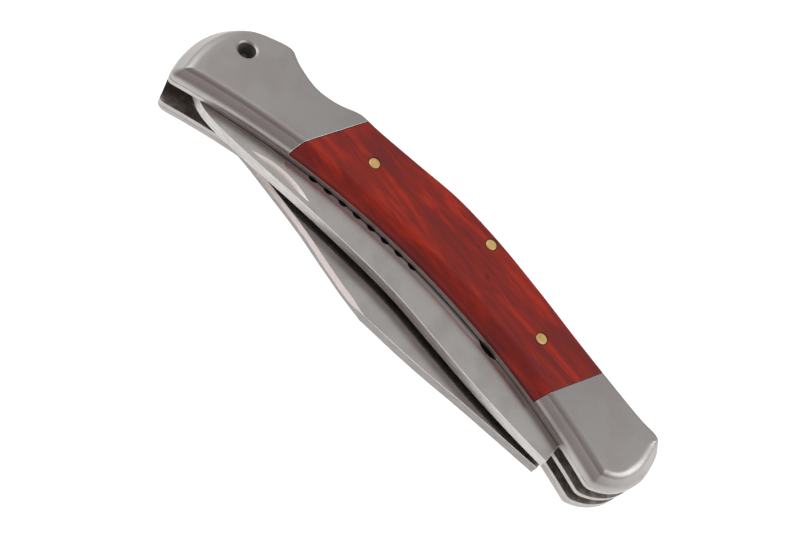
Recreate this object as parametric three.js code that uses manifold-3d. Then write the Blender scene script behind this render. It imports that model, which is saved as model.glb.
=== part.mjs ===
// Folding pocket knife with two blades, each locked open by its own bar along the back.
// Millimetres, closed and lying flat. While it is drawn the blade pivot is at x = 0, y = 0:
// +x runs to the nose, -x to the pommel, +y to the back and +z up through the stack.

import * as THREE from 'three';
import { mergeVertices } from 'three/addons/utils/BufferGeometryUtils.js';
import Module from 'manifold-3d';

// Stack, from the rear face up
const coverThickness = 4; // bolsters and wood scales
const linerThickness = 1.2;
const bladeThickness = 2.5;
const bladeSideGap = 0.1; // free play on each side of a blade in its slot

// Handle outline
const noseReach = 17.85; // from the pivot to the rounded nose
const pommelReach = 106.7; // from the pivot to the end of the pommel
const bellyRadius = 176; // hollow of the belly
const bellyCrestBack = 48.2; // where the belly is highest, behind the pivot
const bellyCrestHeight = 0.1;
const noseCornerSetback = 7.9; // belly corner of the nose, behind its tip
const pommelCornerSetback = 2.05; // belly corner of the pommel, ahead of its end
const noseRadius = 11.2;
const noseCentreHeight = 1.6;
const noseBackHeight = 9.3; // back of the handle just behind the nose
const noseBackSetback = 7.4; // where that is, behind the tip of the nose
const noseShoulderRise = 5.1; // from the nose's centre to where it turns into the back
const backCrestHeight = 18.1;
const backCrestBack = 47.2;
const scoopSetback = 23.4; // thumb scoop over the lock bars, ahead of the end of the pommel
const scoopFloorHeight = 13.3;
const scoopHalfLength = 9.6;
const scoopFrontHeight = 16.45;
const scoopRunIn = 5; // where the back starts down into the scoop, ahead of it
const bulgeHeight = 16.25; // pommel behind the scoop
const noseCornerRadius = 0.9;
const pommelCornerRadius = 1.5;
const pommelRoundLength = 8.3; // over which the back rounds down to the end of the pommel

// Crown of the bolsters and scales
const sideWallHeight = 1.2;
const sideBevel = 1.1; // how far the bevel leans in along the back
const bellyBevelFactor = 1.6; // how much wider it is along the belly
const endBevelFactor = 2.1; // and round the nose and the pommel
const topRounding = 0.95;

// Seams between the bolsters and the wood
const frontSeamBack = 6.4; // where the seam crosses the height of the pivot
const frontSeamAngle = 66;
const rearSeamSetback = 30.3; // the same, ahead of the end of the pommel
const rearSeamAngle = 71;
const seamGap = 0.12;

// Pins
const pivotPinRadius = 2;
const rockerPinRadius = 1.2;
const rivetRadius = 1.2;
const springPinRadius = 1;
const buttPinRadius = 1.2;
const springPinDepth = 5.1; // under the back edge in the middle of the scoop
const upperPinInset = 4.6; // behind the front of the butt spacer, and under the back
const lowerPinSetback = 3.9; // from the end of the pommel
const lowerPinDrop = 1.9; // under the lanyard hole
const pinClearance = 0.06; // radial, every hole over its pin
const pinFlushGap = 0.04; // visible pin ends under the surface they are polished with
const blindPinDepth = 2.4; // how far a hidden pin enters each bolster
const rockerPinBack = 35.76;
const rockerPinBackInset = 3.4; // from the back edge to the rocker pin
const tailRivetAhead = 12.35; // of the rear seam
const tailRivetHeight = 8.3;
const headRivetBack = 15.65;
const headRivetHeight = 5.45;
const lanyardHoleRadius = 1.85;
const lanyardHoleSetback = 8.3; // from the end of the pommel
const lanyardHoleHeight = 6.65;
const lanyardChamfer = 0.35;

// Tang, lock notch and lug, the same on both blades
const shoulderAhead = 1; // square end of the spine, ahead of the pivot when closed
const shoulderDepth = 11.5; // from the pivot to the spine
const hookRadius = 7.6;
const notchRadius = 6;
const hookFaceAhead = 4.9;
const lugClearance = 0.15;
const lugWidth = 3.2;
const lugBackGap = 0.15; // between the lug and the shoulder of an open blade
const seatFrontBack = 0.9; // front wall of the recess that the lug drops in when closed
const kickBack = 8; // bump that stops the closed blade against its lock bar
const kickHeight = 6.3;
const seatEndAngle = 130; // degrees round the tang, where that recess ends

// Lock bars and springs
const lockBarDepth = 3.9; // from the back edge to the underside, near the lug
const rockerBossDepth = 7.2; // the same round the rocker pin
const lockBarInset = 0.12; // under the back edge of the liners
const lockBarStand = 1.1; // how proud the bars stand in the thumb scoop
const lockBarEndGap = 0.4;
const springThickness = 1.1;
const springContactGap = 0.3;
const springPadHeight = 3.6;
const springPadLength = 5.4;
const springReach = 24; // tip of the leaf, behind the rocker pin
const lugNeckLength = 10; // over which the bar reaches its full depth behind the lug
const rockerBossAhead = 4.4; // shoulders of the boss, ahead of the rocker pin
const rockerBossBehind = 4.8; // and behind it
const rockerNeckAhead = 9; // where the boss has run out, ahead of the pin
const rockerNeckBehind = 10.5; // and behind it

// Clip blade, the rear one
const clipTipSetback = 7.3; // from the end of the pommel
const clipTipHeight = -5.1;
const clipHumpBack = 44.2; // where the clip starts
const clipHumpHeight = -13.85;
const clipEdgeHeight = 5.1;
const clipSweep = 37; // length over which the edge sweeps up to the tip
const clipNotchBack = 14.7; // half-round notch at the heel of the edge
const clipNotchRadius = 1.3;
const clipGrindWidth = 8.2;
const swedgeWidth = 0.85;
const swedgeEdgeHalf = 0.6;
const swedgeRunIn = 3.8; // length over which it deepens behind the hump

// Serrated blade, the front one
const slimTipSetback = 5.5; // from the end of the pommel
const slimTipHeight = -4.7;
const slimSpineHeight = -7.2;
const slimSpineDrop = 48; // behind the pivot, where the spine starts down to the shoulder
const slimSweep = 30; // length over which the edge sweeps up to the tip
const slimTipRun = 33; // length over which the spine rounds down to the tip
const slimTipDepth = 3.35; // how much of that is the height of the rounded tip
const slimEdgeOverBelly = 1.8; // how far the edge lies inside the liners
const slimGrindWidth = 3.6;
const grindRunOut = 11; // how far the grind fades out past the choil
const choilBack = 21.2;
const choilRadius = 4;
const choilDepth = 2.75; // from the line of the edge
const heelSlopeRun = 4.4; // behind the kick, where the heel starts down to the choil
const heelSlopeDrop = 3.6;
const serrationCount = 8;
const serrationPitch = 3.78;
const serrationFirstBack = 44.2;
const serrationRadius = 1.15;
const serrationDepth = 2;
const serrationLean = 20;
const serrationSides = 14;
const nickSetback = 25.9; // middle of the nail nick, ahead of the tip
const nickChord = 15.6;
const nickDepth = 0.7;
const nickSpineInset = 0.75; // from the spine to the straight side of the nick
const nickLean = 25;
const nickTurn = 2.2; // degrees, with the slope of the spine
const nickWheelWidth = 10;
const edgeHalf = 0.12; // half the thickness left at a cutting edge

// Butt spacer
const buttWall = 1.5; // wall that closes the end of the pommel
const buttCeilingHeight = 3.2; // roof of the space for the blade tips
const buttLength = 18.9;
const buttCornerDrop = 6; // how far under the roof it has rounded into the wall
const linerSlantHeight = 5.4; // where the middle liner starts to slant back
const linerSlantRun = 8;

const degree = Math.PI / 180;
const scoopBack = pommelReach - scoopSetback;
const rearSeamBack = pommelReach - rearSeamSetback;
const tailRivetBack = rearSeamBack - tailRivetAhead;
const clipLength = pommelReach - clipTipSetback;
const slimLength = pommelReach - slimTipSetback;
const nickBack = slimLength - nickSetback;
const clipEdgeStart = clipNotchBack + clipNotchRadius;
const buttFrontBack = pommelReach - buttLength;
const slotThickness = bladeThickness + 2 * bladeSideGap;
const rearLinerBase = coverThickness;
const rearSlotBase = rearLinerBase + linerThickness;
const middleLinerBase = rearSlotBase + slotThickness;
const frontSlotBase = middleLinerBase + linerThickness;
const frontLinerBase = frontSlotBase + slotThickness;
const frontCoverBase = frontLinerBase + linerThickness;
const totalThickness = frontCoverBase + coverThickness;

const wasm = await Module();
wasm.setup();

// Solids

function solidOf(geometry) {
  const bare = geometry.clone();
  bare.deleteAttribute('normal');
  bare.deleteAttribute('uv');
  const merged = mergeVertices(bare);
  return new wasm.Manifold(new wasm.Mesh({
    numProp: 3,
    vertProperties: new Float32Array(merged.attributes.position.array),
    triVerts: new Uint32Array(merged.index.array),
  }));
}

// A flat plate between two heights, both exact
function plate(points, low, high, holes = []) {
  const shape = new THREE.Shape(points);
  const geometry = new THREE.ExtrudeGeometry(shape, { depth: high - low, bevelEnabled: false });
  const position = geometry.attributes.position;
  for (let i = 0; i < position.count; i += 1) {
    position.setZ(i, position.getZ(i) > (high - low) / 2 ? high : low);
  }
  return holes.reduce((body, hole) => body.subtract(hole), solidOf(geometry));
}

function rod(x, y, radius, low, high, sides = 24) {
  const geometry = new THREE.CylinderGeometry(radius, radius, high - low, sides);
  geometry.rotateX(Math.PI / 2);
  geometry.translate(x, y, (low + high) / 2);
  return solidOf(geometry);
}

// A closed skin through rings with the same number of points
function loft(rings) {
  const count = rings[0].length;
  const positions = rings.flat().flatMap((point) => [point.x, point.y, point.z]);
  const index = [];
  for (let ring = 0; ring < rings.length - 1; ring += 1) {
    for (let i = 0; i < count; i += 1) {
      const a = ring * count + i;
      const b = ring * count + ((i + 1) % count);
      index.push(a, b, b + count, a, b + count, a + count);
    }
  }
  const capOf = (ring) => {
    const [origin, second] = ring;
    const normal = new THREE.Vector3();
    ring.forEach((point, i) => {
      const next = ring[(i + 1) % count];
      normal.add(new THREE.Vector3().subVectors(point, origin)
        .cross(new THREE.Vector3().subVectors(next, origin)));
    });
    normal.normalize();
    const across = new THREE.Vector3().subVectors(second, origin).normalize();
    const along = new THREE.Vector3().crossVectors(normal, across);
    const flat = ring.map((point) => {
      const offset = new THREE.Vector3().subVectors(point, origin);
      return new THREE.Vector2(offset.dot(across), offset.dot(along));
    });
    return THREE.ShapeUtils.triangulateShape(flat, []);
  };
  const last = (rings.length - 1) * count;
  capOf(rings[0]).forEach(([a, b, c]) => index.push(a, c, b));
  capOf(rings[rings.length - 1]).forEach(([a, b, c]) => index.push(last + a, last + b, last + c));
  let volume = 0;
  const corner = (i) => new THREE.Vector3().fromArray(positions, 3 * i);
  for (let i = 0; i < index.length; i += 3) {
    volume += corner(index[i]).dot(corner(index[i + 1]).cross(corner(index[i + 2])));
  }
  const geometry = new THREE.BufferGeometry();
  geometry.setAttribute('position', new THREE.Float32BufferAttribute(positions, 3));
  geometry.setIndex(volume > 0 ? index : index.reverse());
  return solidOf(geometry);
}

// Curves

function smooth(points, steps) {
  const curve = new THREE.CatmullRomCurve3(
    points.map(([x, y, z = 0]) => new THREE.Vector3(x, y, z)), false, 'centripetal');
  return curve.getPoints((points.length - 1) * steps);
}

function arc(radius, from, to, steps) {
  return Array.from({ length: steps + 1 }, (_, i) => {
    const angle = from + ((to - from) * i) / steps;
    return new THREE.Vector2(radius * Math.cos(angle), radius * Math.sin(angle));
  });
}

// Handle outline

function bellyHeight(x) {
  const offset = x + bellyCrestBack;
  return bellyCrestHeight - bellyRadius + Math.sqrt(bellyRadius ** 2 - offset ** 2);
}

const noseCornerX = noseReach - noseCornerSetback;
const pommelCornerX = pommelCornerSetback - pommelReach;

// Control points of the back, from the end of the nose arc round to the pommel corner. The
// third value is the bevel factor, which widens the bevel round both ends.
function backControls() {
  const pommel = -pommelReach;
  const scoop = -scoopBack;
  const start = new THREE.Vector2(noseReach - noseBackSetback, noseBackHeight + 0.1);
  const crest = new THREE.Vector2(-backCrestBack, backCrestHeight);
  const climb = (along, up) => [
    start.x + (crest.x - start.x) * along, start.y + (crest.y - start.y) * up, 1,
  ];
  const fall = bulgeHeight - bellyHeight(pommelCornerX);
  const round = (ahead, down, bevel) => [
    pommel + pommelRoundLength * ahead, bulgeHeight - fall * down, bevel,
  ];
  return [
    [noseReach - 0.05, noseCentreHeight + 1.1, endBevelFactor * 0.86],
    [noseReach - 0.3, noseCentreHeight + 3.3, endBevelFactor * 0.7],
    [noseReach - 0.75, noseCentreHeight + noseShoulderRise, endBevelFactor * 0.56],
    [noseReach - 1.75, noseBackHeight - 1, 1],
    [noseReach - 3.7, noseBackHeight - 0.1, 1],
    climb(0, 0),
    climb(0.153, 0.155),
    climb(0.349, 0.385),
    climb(0.57, 0.672),
    climb(0.796, 0.908),
    climb(1, 1),
    [(-backCrestBack + scoop + scoopHalfLength) / 2 + 2, backCrestHeight - 0.85, 1],
    [scoop + scoopHalfLength + scoopRunIn, scoopFrontHeight + 0.05, 1],
    [scoop + scoopHalfLength, scoopFrontHeight - 0.1, 1],
    [scoop + scoopHalfLength * 0.45, (scoopFrontHeight + scoopFloorHeight) / 2 - 0.85, 1],
    [scoop, scoopFloorHeight, 1],
    [scoop - scoopHalfLength * 0.56, (bulgeHeight + scoopFloorHeight) / 2 - 0.25, 1],
    [scoop - scoopHalfLength, bulgeHeight, 1],
    round(1, 0.075, 1.3),
    round(0.542, 0.169, endBevelFactor * 0.8),
    round(0.157, 0.334, endBevelFactor),
    round(0, 0.558, endBevelFactor),
    round(0.09, 0.833, endBevelFactor),
    [pommelCornerX, bellyHeight(pommelCornerX), 1],
  ];
}

const bellySteps = 26;
const noseSteps = 10;
const backStepsPerControl = 4;
const straightAtCorner = 3.4; // the end of the pommel runs straight this far from its corner

function handleOutline() {
  const outline = [];
  for (let i = 0; i <= bellySteps; i += 1) {
    const x = pommelCornerX + ((noseCornerX - pommelCornerX) * i) / bellySteps;
    outline.push({ x, y: bellyHeight(x), bevel: bellyBevelFactor, corner: 0 });
  }
  outline[0].corner = pommelCornerRadius;
  outline[bellySteps].corner = noseCornerRadius;
  outline[bellySteps].bevel = endBevelFactor;
  const centreX = noseReach - noseRadius;
  const cornerOffset = new THREE.Vector2(
    noseCornerX - centreX, bellyHeight(noseCornerX) - noseCentreHeight);
  const from = Math.atan2(cornerOffset.y, cornerOffset.x);
  arc(noseRadius, from, 0, noseSteps).slice(1, -1).forEach((point, i) => {
    const swell = (cornerOffset.length() / noseRadius - 1) * (1 - (i + 1) / noseSteps);
    point.multiplyScalar(1 + swell);
    outline.push({
      x: centreX + point.x, y: noseCentreHeight + point.y, bevel: endBevelFactor, corner: 0,
    });
  });
  const { x, y } = outline[0];
  smooth(backControls(), backStepsPerControl)
    .filter((point) => Math.hypot(point.x - x, point.y - y) > straightAtCorner)
    .forEach((point) => outline.push({ x: point.x, y: point.y, bevel: point.z, corner: 0 }));
  return outline;
}

const outline = handleOutline();

// The outline moved in by bevel times each edge's own factor, plus an even rounding
function ringAt(bevel, rounding) {
  const count = outline.length;
  const moved = outline.map((vertex, i) => {
    const before = outline[(i + count - 1) % count];
    const after = outline[(i + 1) % count];
    const inwardOf = (a, b) => new THREE.Vector2(a.y - b.y, b.x - a.x).normalize();
    const n1 = inwardOf(before, vertex);
    const n2 = inwardOf(vertex, after);
    const d1 = bevel * before.bevel + rounding;
    const d2 = bevel * vertex.bevel + rounding;
    const turn = n1.x * n2.y - n1.y * n2.x;
    if (Math.abs(turn) > 0.3) {
      const x = (d1 * n2.y - d2 * n1.y) / turn;
      const y = (n1.x * d2 - n2.x * d1) / turn;
      return { x: vertex.x + x, y: vertex.y + y, corner: vertex.corner };
    }
    const scale = (d1 + d2) / 2 / (1 + n1.dot(n2));
    return {
      x: vertex.x + (n1.x + n2.x) * scale,
      y: vertex.y + (n1.y + n2.y) * scale,
      corner: vertex.corner,
    };
  });
  return moved.flatMap((vertex, i) => {
    if (vertex.corner === 0) {
      return [new THREE.Vector2(vertex.x, vertex.y)];
    }
    const radius = Math.max(vertex.corner - bevel - rounding, 0.2);
    const apex = new THREE.Vector2(vertex.x, vertex.y);
    const toward = (other) => new THREE.Vector2(other.x, other.y).sub(apex).setLength(radius).add(apex);
    const start = toward(moved[(i + count - 1) % count]);
    const end = toward(moved[(i + 1) % count]);
    return new THREE.QuadraticBezierCurve(start, apex, end).getPoints(4);
  });
}

const bodyOutline = ringAt(0, 0);

// Height of the back edge over a point behind the pivot
const backLine = smooth(backControls(), 12);
function backHeight(x) {
  const i = backLine.findIndex((point, at) => at > 0 && backLine[at - 1].x >= x && point.x < x);
  const a = backLine[i - 1];
  const b = backLine[i];
  return a.y + ((b.y - a.y) * (a.x - x)) / (a.x - b.x);
}

const rockerPin = new THREE.Vector2(-rockerPinBack, backHeight(-rockerPinBack) - rockerPinBackInset);
const springPin = new THREE.Vector2(
  springPadLength / 2 - buttFrontBack + lockBarEndGap, backHeight(-scoopBack) - springPinDepth);
const lanyardHole = new THREE.Vector2(lanyardHoleSetback - pommelReach, lanyardHoleHeight);
const upperPinX = -buttFrontBack - upperPinInset;
const buttPins = [
  new THREE.Vector2(upperPinX, backHeight(upperPinX) - upperPinInset),
  new THREE.Vector2(lowerPinSetback - pommelReach, lanyardHoleHeight - lowerPinDrop),
];
const rivets = {
  tail: new THREE.Vector2(-tailRivetBack, tailRivetHeight),
  head: new THREE.Vector2(-headRivetBack, headRivetHeight),
};

// Bolsters and wood: one crowned cover, cut along two slanted seams

function crownedCover(base, direction) {
  const bevelTop = coverThickness - 0.65;
  const levels = [
    [0, 0, 0],
    [sideWallHeight, 0, 0],
    [bevelTop, sideBevel * 0.78, 0],
    [coverThickness - 0.25, sideBevel, topRounding * 0.12],
    [coverThickness - 0.06, sideBevel, topRounding * 0.5],
    [coverThickness, sideBevel, topRounding],
  ];
  return loft(levels.map(([height, bevel, rounding]) => ringAt(bevel, rounding)
    .map((point) => new THREE.Vector3(point.x, point.y, base + direction * height))));
}

// Everything on the nose side of a seam
function noseSideOf(seamBack, angle, shift) {
  const reach = 3 * pommelReach;
  const along = new THREE.Vector2(Math.cos(angle * degree), Math.sin(angle * degree));
  const ahead = new THREE.Vector2(along.y, -along.x);
  const origin = new THREE.Vector2(-seamBack, 0).addScaledVector(ahead, shift);
  const corner = (a, b) => origin.clone().addScaledVector(along, a).addScaledVector(ahead, b);
  return plate([corner(-reach, 0), corner(-reach, reach), corner(reach, reach), corner(reach, 0)],
    -1, totalThickness + 1);
}

function coverPieces(base, direction) {
  const cover = crownedCover(base, direction);
  const half = seamGap / 2;
  const outer = base + direction * coverThickness;
  const through = (center, radius) => rod(center.x, center.y, radius + pinClearance,
    Math.min(base, outer) - 1, Math.max(base, outer) + 1);
  const blind = (center, radius) => {
    const bottom = base + direction * (blindPinDepth + pinClearance);
    const mouth = base - direction;
    return rod(center.x, center.y, radius + pinClearance,
      Math.min(bottom, mouth), Math.max(bottom, mouth));
  };
  const lanyardBore = rod(lanyardHole.x, lanyardHole.y, lanyardHoleRadius,
    Math.min(base, outer) - 1, Math.max(base, outer) + 1);
  const flare = new THREE.CylinderGeometry(
    lanyardHoleRadius + 2 * lanyardChamfer, lanyardHoleRadius, 2 * lanyardChamfer, 32);
  flare.rotateX((direction * Math.PI) / 2);
  flare.translate(lanyardHole.x, lanyardHole.y, outer);
  const origin = new THREE.Vector2();
  return {
    nose: cover.intersect(noseSideOf(frontSeamBack, frontSeamAngle, half))
      .subtract(blind(origin, pivotPinRadius)),
    wood: cover.intersect(noseSideOf(rearSeamBack, rearSeamAngle, half))
      .subtract(noseSideOf(frontSeamBack, frontSeamAngle, -half))
      .subtract(through(rockerPin, rockerPinRadius))
      .subtract(through(rivets.tail, rivetRadius))
      .subtract(through(rivets.head, rivetRadius)),
    pommel: cover.subtract(noseSideOf(rearSeamBack, rearSeamAngle, -half))
      .subtract(blind(springPin, springPinRadius))
      .subtract(blind(buttPins[0], buttPinRadius))
      .subtract(blind(buttPins[1], buttPinRadius))
      .subtract(lanyardBore)
      .subtract(solidOf(flare)),
  };
}

// Liners

function holeThrough(center, radius, low) {
  return rod(center.x, center.y, radius + pinClearance, low - 1, low + linerThickness + 1);
}

function outerLiner(base) {
  return plate(bodyOutline, base, base + linerThickness, [
    holeThrough(new THREE.Vector2(), pivotPinRadius, base),
    holeThrough(rockerPin, rockerPinRadius, base),
    holeThrough(springPin, springPinRadius, base),
    holeThrough(buttPins[0], buttPinRadius, base),
    holeThrough(buttPins[1], buttPinRadius, base),
    holeThrough(rivets.tail, rivetRadius, base),
    holeThrough(rivets.head, rivetRadius, base),
    rod(lanyardHole.x, lanyardHole.y, lanyardHoleRadius, base - 1, base + linerThickness + 1),
  ]);
}

// The middle liner stops at the butt spacer, and its belly side is cut back on a slant
function middleLiner() {
  const end = lockBarEndGap - buttFrontBack;
  const cut = [
    new THREE.Vector2(end, 2 * backCrestHeight),
    new THREE.Vector2(end, linerSlantHeight),
    new THREE.Vector2(end + linerSlantRun, -2 * shoulderDepth),
    new THREE.Vector2(-2 * pommelReach, -2 * shoulderDepth),
    new THREE.Vector2(-2 * pommelReach, 2 * backCrestHeight),
  ];
  const base = middleLinerBase;
  return plate(bodyOutline, base, base + linerThickness, [
    plate(cut, base - 1, base + linerThickness + 1),
    holeThrough(new THREE.Vector2(), pivotPinRadius, base),
    holeThrough(rockerPin, rockerPinRadius, base),
    holeThrough(springPin, springPinRadius, base),
  ]);
}

// Blades, drawn closed: the edge is on the back side and the spine on the belly side

// Tang from the spine shoulder round to the kick: shoulder, lock notch, hook, closed seat
function tangOutline() {
  const notchStart = -Math.acos(shoulderAhead / notchRadius);
  const notchEnd = -Math.acos(hookFaceAhead / notchRadius);
  const hookStart = -Math.acos(hookFaceAhead / hookRadius);
  const hookEnd = Math.acos(-seatFrontBack / hookRadius);
  const seatStart = Math.acos(-seatFrontBack / notchRadius);
  const seatEnd = seatEndAngle * degree;
  return [
    new THREE.Vector2(shoulderAhead, -shoulderDepth),
    ...arc(notchRadius, notchStart, notchEnd, 7),
    ...arc(hookRadius, hookStart, hookEnd, 20),
    ...arc(notchRadius, seatStart, seatEnd, 6),
    new THREE.Vector2(-kickBack + 2.1, kickHeight - 0.9),
    new THREE.Vector2(-kickBack + 0.6, kickHeight),
    new THREE.Vector2(-kickBack - 0.5, kickHeight),
  ];
}

function clipEdge() {
  const straight = clipLength - clipSweep - clipEdgeStart;
  const drop = clipEdgeHeight - clipTipHeight;
  const at = (back, share) => [-back, clipEdgeHeight - share * drop];
  return smooth([
    at(clipEdgeStart, 0.04), at(clipEdgeStart + straight / 3, 0),
    at(clipEdgeStart + (2 * straight) / 3, 0.01), at(clipLength - clipSweep, 0.108),
    at(clipLength - 0.595 * clipSweep, 0.324), at(clipLength - 0.243 * clipSweep, 0.696),
    at(clipLength, 1),
  ], 6);
}

// From the tip to the hump, as shares of that length and of its fall
function clipSpine() {
  const run = clipLength - clipHumpBack;
  const fall = clipTipHeight - clipHumpHeight;
  const shares = [
    [0, 0], [0.073, 0.051], [0.263, 0.12], [0.444, 0.303], [0.629, 0.52], [0.783, 0.766],
    [0.924, 0.966], [1, 1],
  ];
  return smooth(shares.map(([along, down]) => [run * along - clipLength, clipTipHeight - fall * down]), 5);
}

// From the hump on to the square shoulder
function clipShoulder() {
  const run = clipHumpBack + shoulderAhead;
  const rise = -shoulderDepth - clipHumpHeight;
  return smooth([
    [-clipHumpBack, clipHumpHeight], [-clipHumpBack + 0.2 * run, clipHumpHeight + 0.05 * rise],
    [-clipHumpBack + 0.36 * run, clipHumpHeight + 0.19 * rise],
    [-clipHumpBack + 0.54 * run, clipHumpHeight + 0.48 * rise],
    [-clipHumpBack + 0.76 * run, clipHumpHeight + 0.75 * rise], [shoulderAhead, -shoulderDepth],
  ], 4);
}

const choilHalf = Math.sqrt(choilRadius ** 2 - (choilRadius - choilDepth) ** 2);

function slimEdgeHeight(x) {
  return bellyHeight(x) + slimEdgeOverBelly;
}

function slimEdge() {
  const tip = [-slimLength, slimTipHeight];
  const heel = -choilBack - choilHalf;
  const points = [0, 0.25, 0.5, 0.75, 1].map((share) => {
    const x = heel + (tip[0] + slimSweep - heel) * share;
    return [x, slimEdgeHeight(x)];
  });
  const rise = slimEdgeHeight(tip[0] + slimSweep) - slimTipHeight;
  return smooth([
    ...points, [tip[0] + 0.533 * slimSweep, slimTipHeight + 0.66 * rise],
    [tip[0] + 0.233 * slimSweep, slimTipHeight + 0.307 * rise], tip,
  ], 6);
}

function slimSpine() {
  const round = (along, down) => [slimTipRun * along - slimLength, slimTipHeight - slimTipDepth * down];
  const drop = slimSpineHeight + shoulderDepth;
  const fall = (along, down) => [-slimSpineDrop * along, slimSpineHeight - drop * down];
  return smooth([
    round(0, 0), round(0.121, 0.687), round(0.224, 0.955), round(0.485, 1),
    [slimTipRun - slimLength, slimSpineHeight - 0.1], fall(1, 0), fall(0.833, 0.116),
    fall(0.667, 0.349), fall(0.375, 0.733), fall(0.146, 0.919), [shoulderAhead, -shoulderDepth],
  ], 5);
}

// A wedge that grinds one face down to an edge; the blade lies to the left of the path. Each
// point of the path has the width of the grind and the half thickness left at the edge.
function grindWedge(path, widths, thins, side) {
  const half = bladeThickness / 2;
  const rings = path.map((point, i) => {
    const before = path[Math.max(i - 1, 0)];
    const after = path[Math.min(i + 1, path.length - 1)];
    const tangent = new THREE.Vector2(after.x - before.x, after.y - before.y).normalize();
    const left = new THREE.Vector2(-tangent.y, tangent.x);
    const width = widths[i];
    const thin = thins[i];
    const slope = (half - thin) / width;
    const past = 0.2;
    const top = half + 1 + slope * past;
    const at = (distance, height) => new THREE.Vector3(
      point.x + left.x * distance, point.y + left.y * distance, side * height);
    return [
      at(width + past, half + slope * past), at(-1.5, thin - 1.5 * slope),
      at(-1.5, top), at(width + past, top),
    ];
  });
  return loft(rings);
}

function extended(path, length) {
  const a = path[path.length - 2];
  const b = path[path.length - 1];
  const direction = new THREE.Vector3().subVectors(b, a).setLength(length);
  return [...path, b.clone().add(direction)];
}

function taperedWidths(path, from, to, power) {
  const last = path.length - 1;
  return path.map((_, i) => from + (to - from) * (i / last) ** power);
}

function bladeBody(points, base) {
  const low = base + bladeSideGap;
  return plate(points, low, low + bladeThickness,
    [rod(0, 0, pivotPinRadius + pinClearance, low - 1, low + bladeThickness + 1, 30)]);
}

function clipBlade() {
  const edge = clipEdge();
  const spine = clipSpine();
  const flat = (list) => list.map((point) => new THREE.Vector2(point.x, point.y));
  const notch = arc(clipNotchRadius, 0, Math.PI, 8)
    .map((point) => new THREE.Vector2(point.x - clipNotchBack, clipEdgeHeight - 0.4 - point.y));
  const points = [
    ...tangOutline(),
    new THREE.Vector2(-kickBack - 2.4, clipEdgeHeight - 0.4),
    ...notch,
    ...flat(edge).slice(1, -1),
    ...flat(spine),
    ...flat(clipShoulder()).slice(1, -1),
  ];
  const middle = rearSlotBase + slotThickness / 2;
  let body = bladeBody(points, rearSlotBase);
  const edgePath = extended(edge, 4);
  const edgeWidths = taperedWidths(edgePath, clipGrindWidth, 2.6, 2.2);
  const edgeThins = edgePath.map(() => edgeHalf);
  const clip = extended([...spine].reverse(), 4).reverse();
  const depths = clip.map(({ x }) => Math.min(Math.max((-clipHumpBack - x) / swedgeRunIn, 0.04), 1));
  const taper = clip.map(({ x }) => 1 + (0.35 * (clipHumpBack + x)) / (clipLength - clipHumpBack));
  const clipWidths = clip.map((_, i) => swedgeWidth * depths[i] * taper[i]);
  const half = bladeThickness / 2;
  const clipThins = clip.map((_, i) => half - (half - swedgeEdgeHalf) * depths[i]);
  [1, -1].forEach((side) => {
    const grind = grindWedge(edgePath, edgeWidths, edgeThins, side);
    const swedge = grindWedge(clip, clipWidths, clipThins, side);
    body = body.subtract(grind.translate([0, 0, middle])).subtract(swedge.translate([0, 0, middle]));
  });
  return body;
}

// Crescent nail nick: a large wheel leaning into the face, its flat side towards the spine
function nickCutter(faceHeight) {
  const radius = ((nickChord / 2) ** 2 + nickDepth ** 2) / (2 * nickDepth);
  const wheel = new THREE.CylinderGeometry(radius, radius, nickWheelWidth, 140);
  wheel.translate(0, nickWheelWidth / 2, radius - nickDepth);
  wheel.rotateX(nickLean * degree);
  wheel.rotateZ(nickTurn * degree);
  wheel.translate(-nickBack, slimSpineHeight + nickSpineInset, faceHeight);
  return solidOf(wheel);
}

function serrationCutter(i, middle) {
  const x = -serrationFirstBack - serrationPitch * i;
  const cutter = new THREE.CylinderGeometry(
    serrationRadius, serrationRadius, 3 * bladeThickness, serrationSides);
  cutter.rotateX((90 + serrationLean) * degree);
  cutter.translate(x, slimEdgeHeight(x) + serrationRadius - serrationDepth, middle);
  return solidOf(cutter);
}

function serratedBlade() {
  const edge = slimEdge();
  const spine = slimSpine();
  const flat = (list) => list.map((point) => new THREE.Vector2(point.x, point.y));
  const choilHeight = slimEdgeHeight(-choilBack);
  const choilOpening = Math.asin(choilHalf / choilRadius);
  const choil = arc(choilRadius, Math.PI / 2 - choilOpening, Math.PI / 2 + choilOpening, 7)
    .map((point) => new THREE.Vector2(
      point.x - choilBack, choilHeight + choilRadius - choilDepth - point.y));
  const points = [
    ...tangOutline(),
    ...flat(smooth([
      [-kickBack - heelSlopeRun * 0.45, kickHeight - heelSlopeDrop / 3],
      [-kickBack - heelSlopeRun, kickHeight - heelSlopeDrop],
      [-choilBack + choilHalf + heelSlopeRun / 2, choilHeight + 0.6],
      [-choilBack + choilHalf, choilHeight],
    ], 4)).slice(0, -1),
    ...choil.slice(0, -1),
    ...flat(edge).slice(0, -1),
    ...flat(spine).slice(0, -1),
  ];
  const middle = frontSlotBase + slotThickness / 2;
  let body = bladeBody(points, frontSlotBase);
  const runOut = [0, 0.25, 0.5, 0.75].map((share) => {
    const x = edge[0].x + grindRunOut * (1 - share);
    return new THREE.Vector3(x, slimEdgeHeight(x), 0.1 + 0.9 * share);
  });
  const cut = extended(edge, 4);
  const edgePath = [...runOut, ...cut];
  const widths = [
    ...runOut.map((point) => slimGrindWidth * point.z),
    ...taperedWidths(cut, slimGrindWidth, 1.5, 1.4),
  ];
  const thins = edgePath.map(() => edgeHalf);
  [1, -1].forEach((side) => {
    body = body.subtract(grindWedge(edgePath, widths, thins, side).translate([0, 0, middle]));
  });
  for (let i = 0; i < serrationCount; i += 1) {
    body = body.subtract(serrationCutter(i, middle));
  }
  return body.subtract(nickCutter(middle + bladeThickness / 2));
}

// Lock bars: a rocker along the back with a lug over the tang, drawn lifted just clear of it

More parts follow.
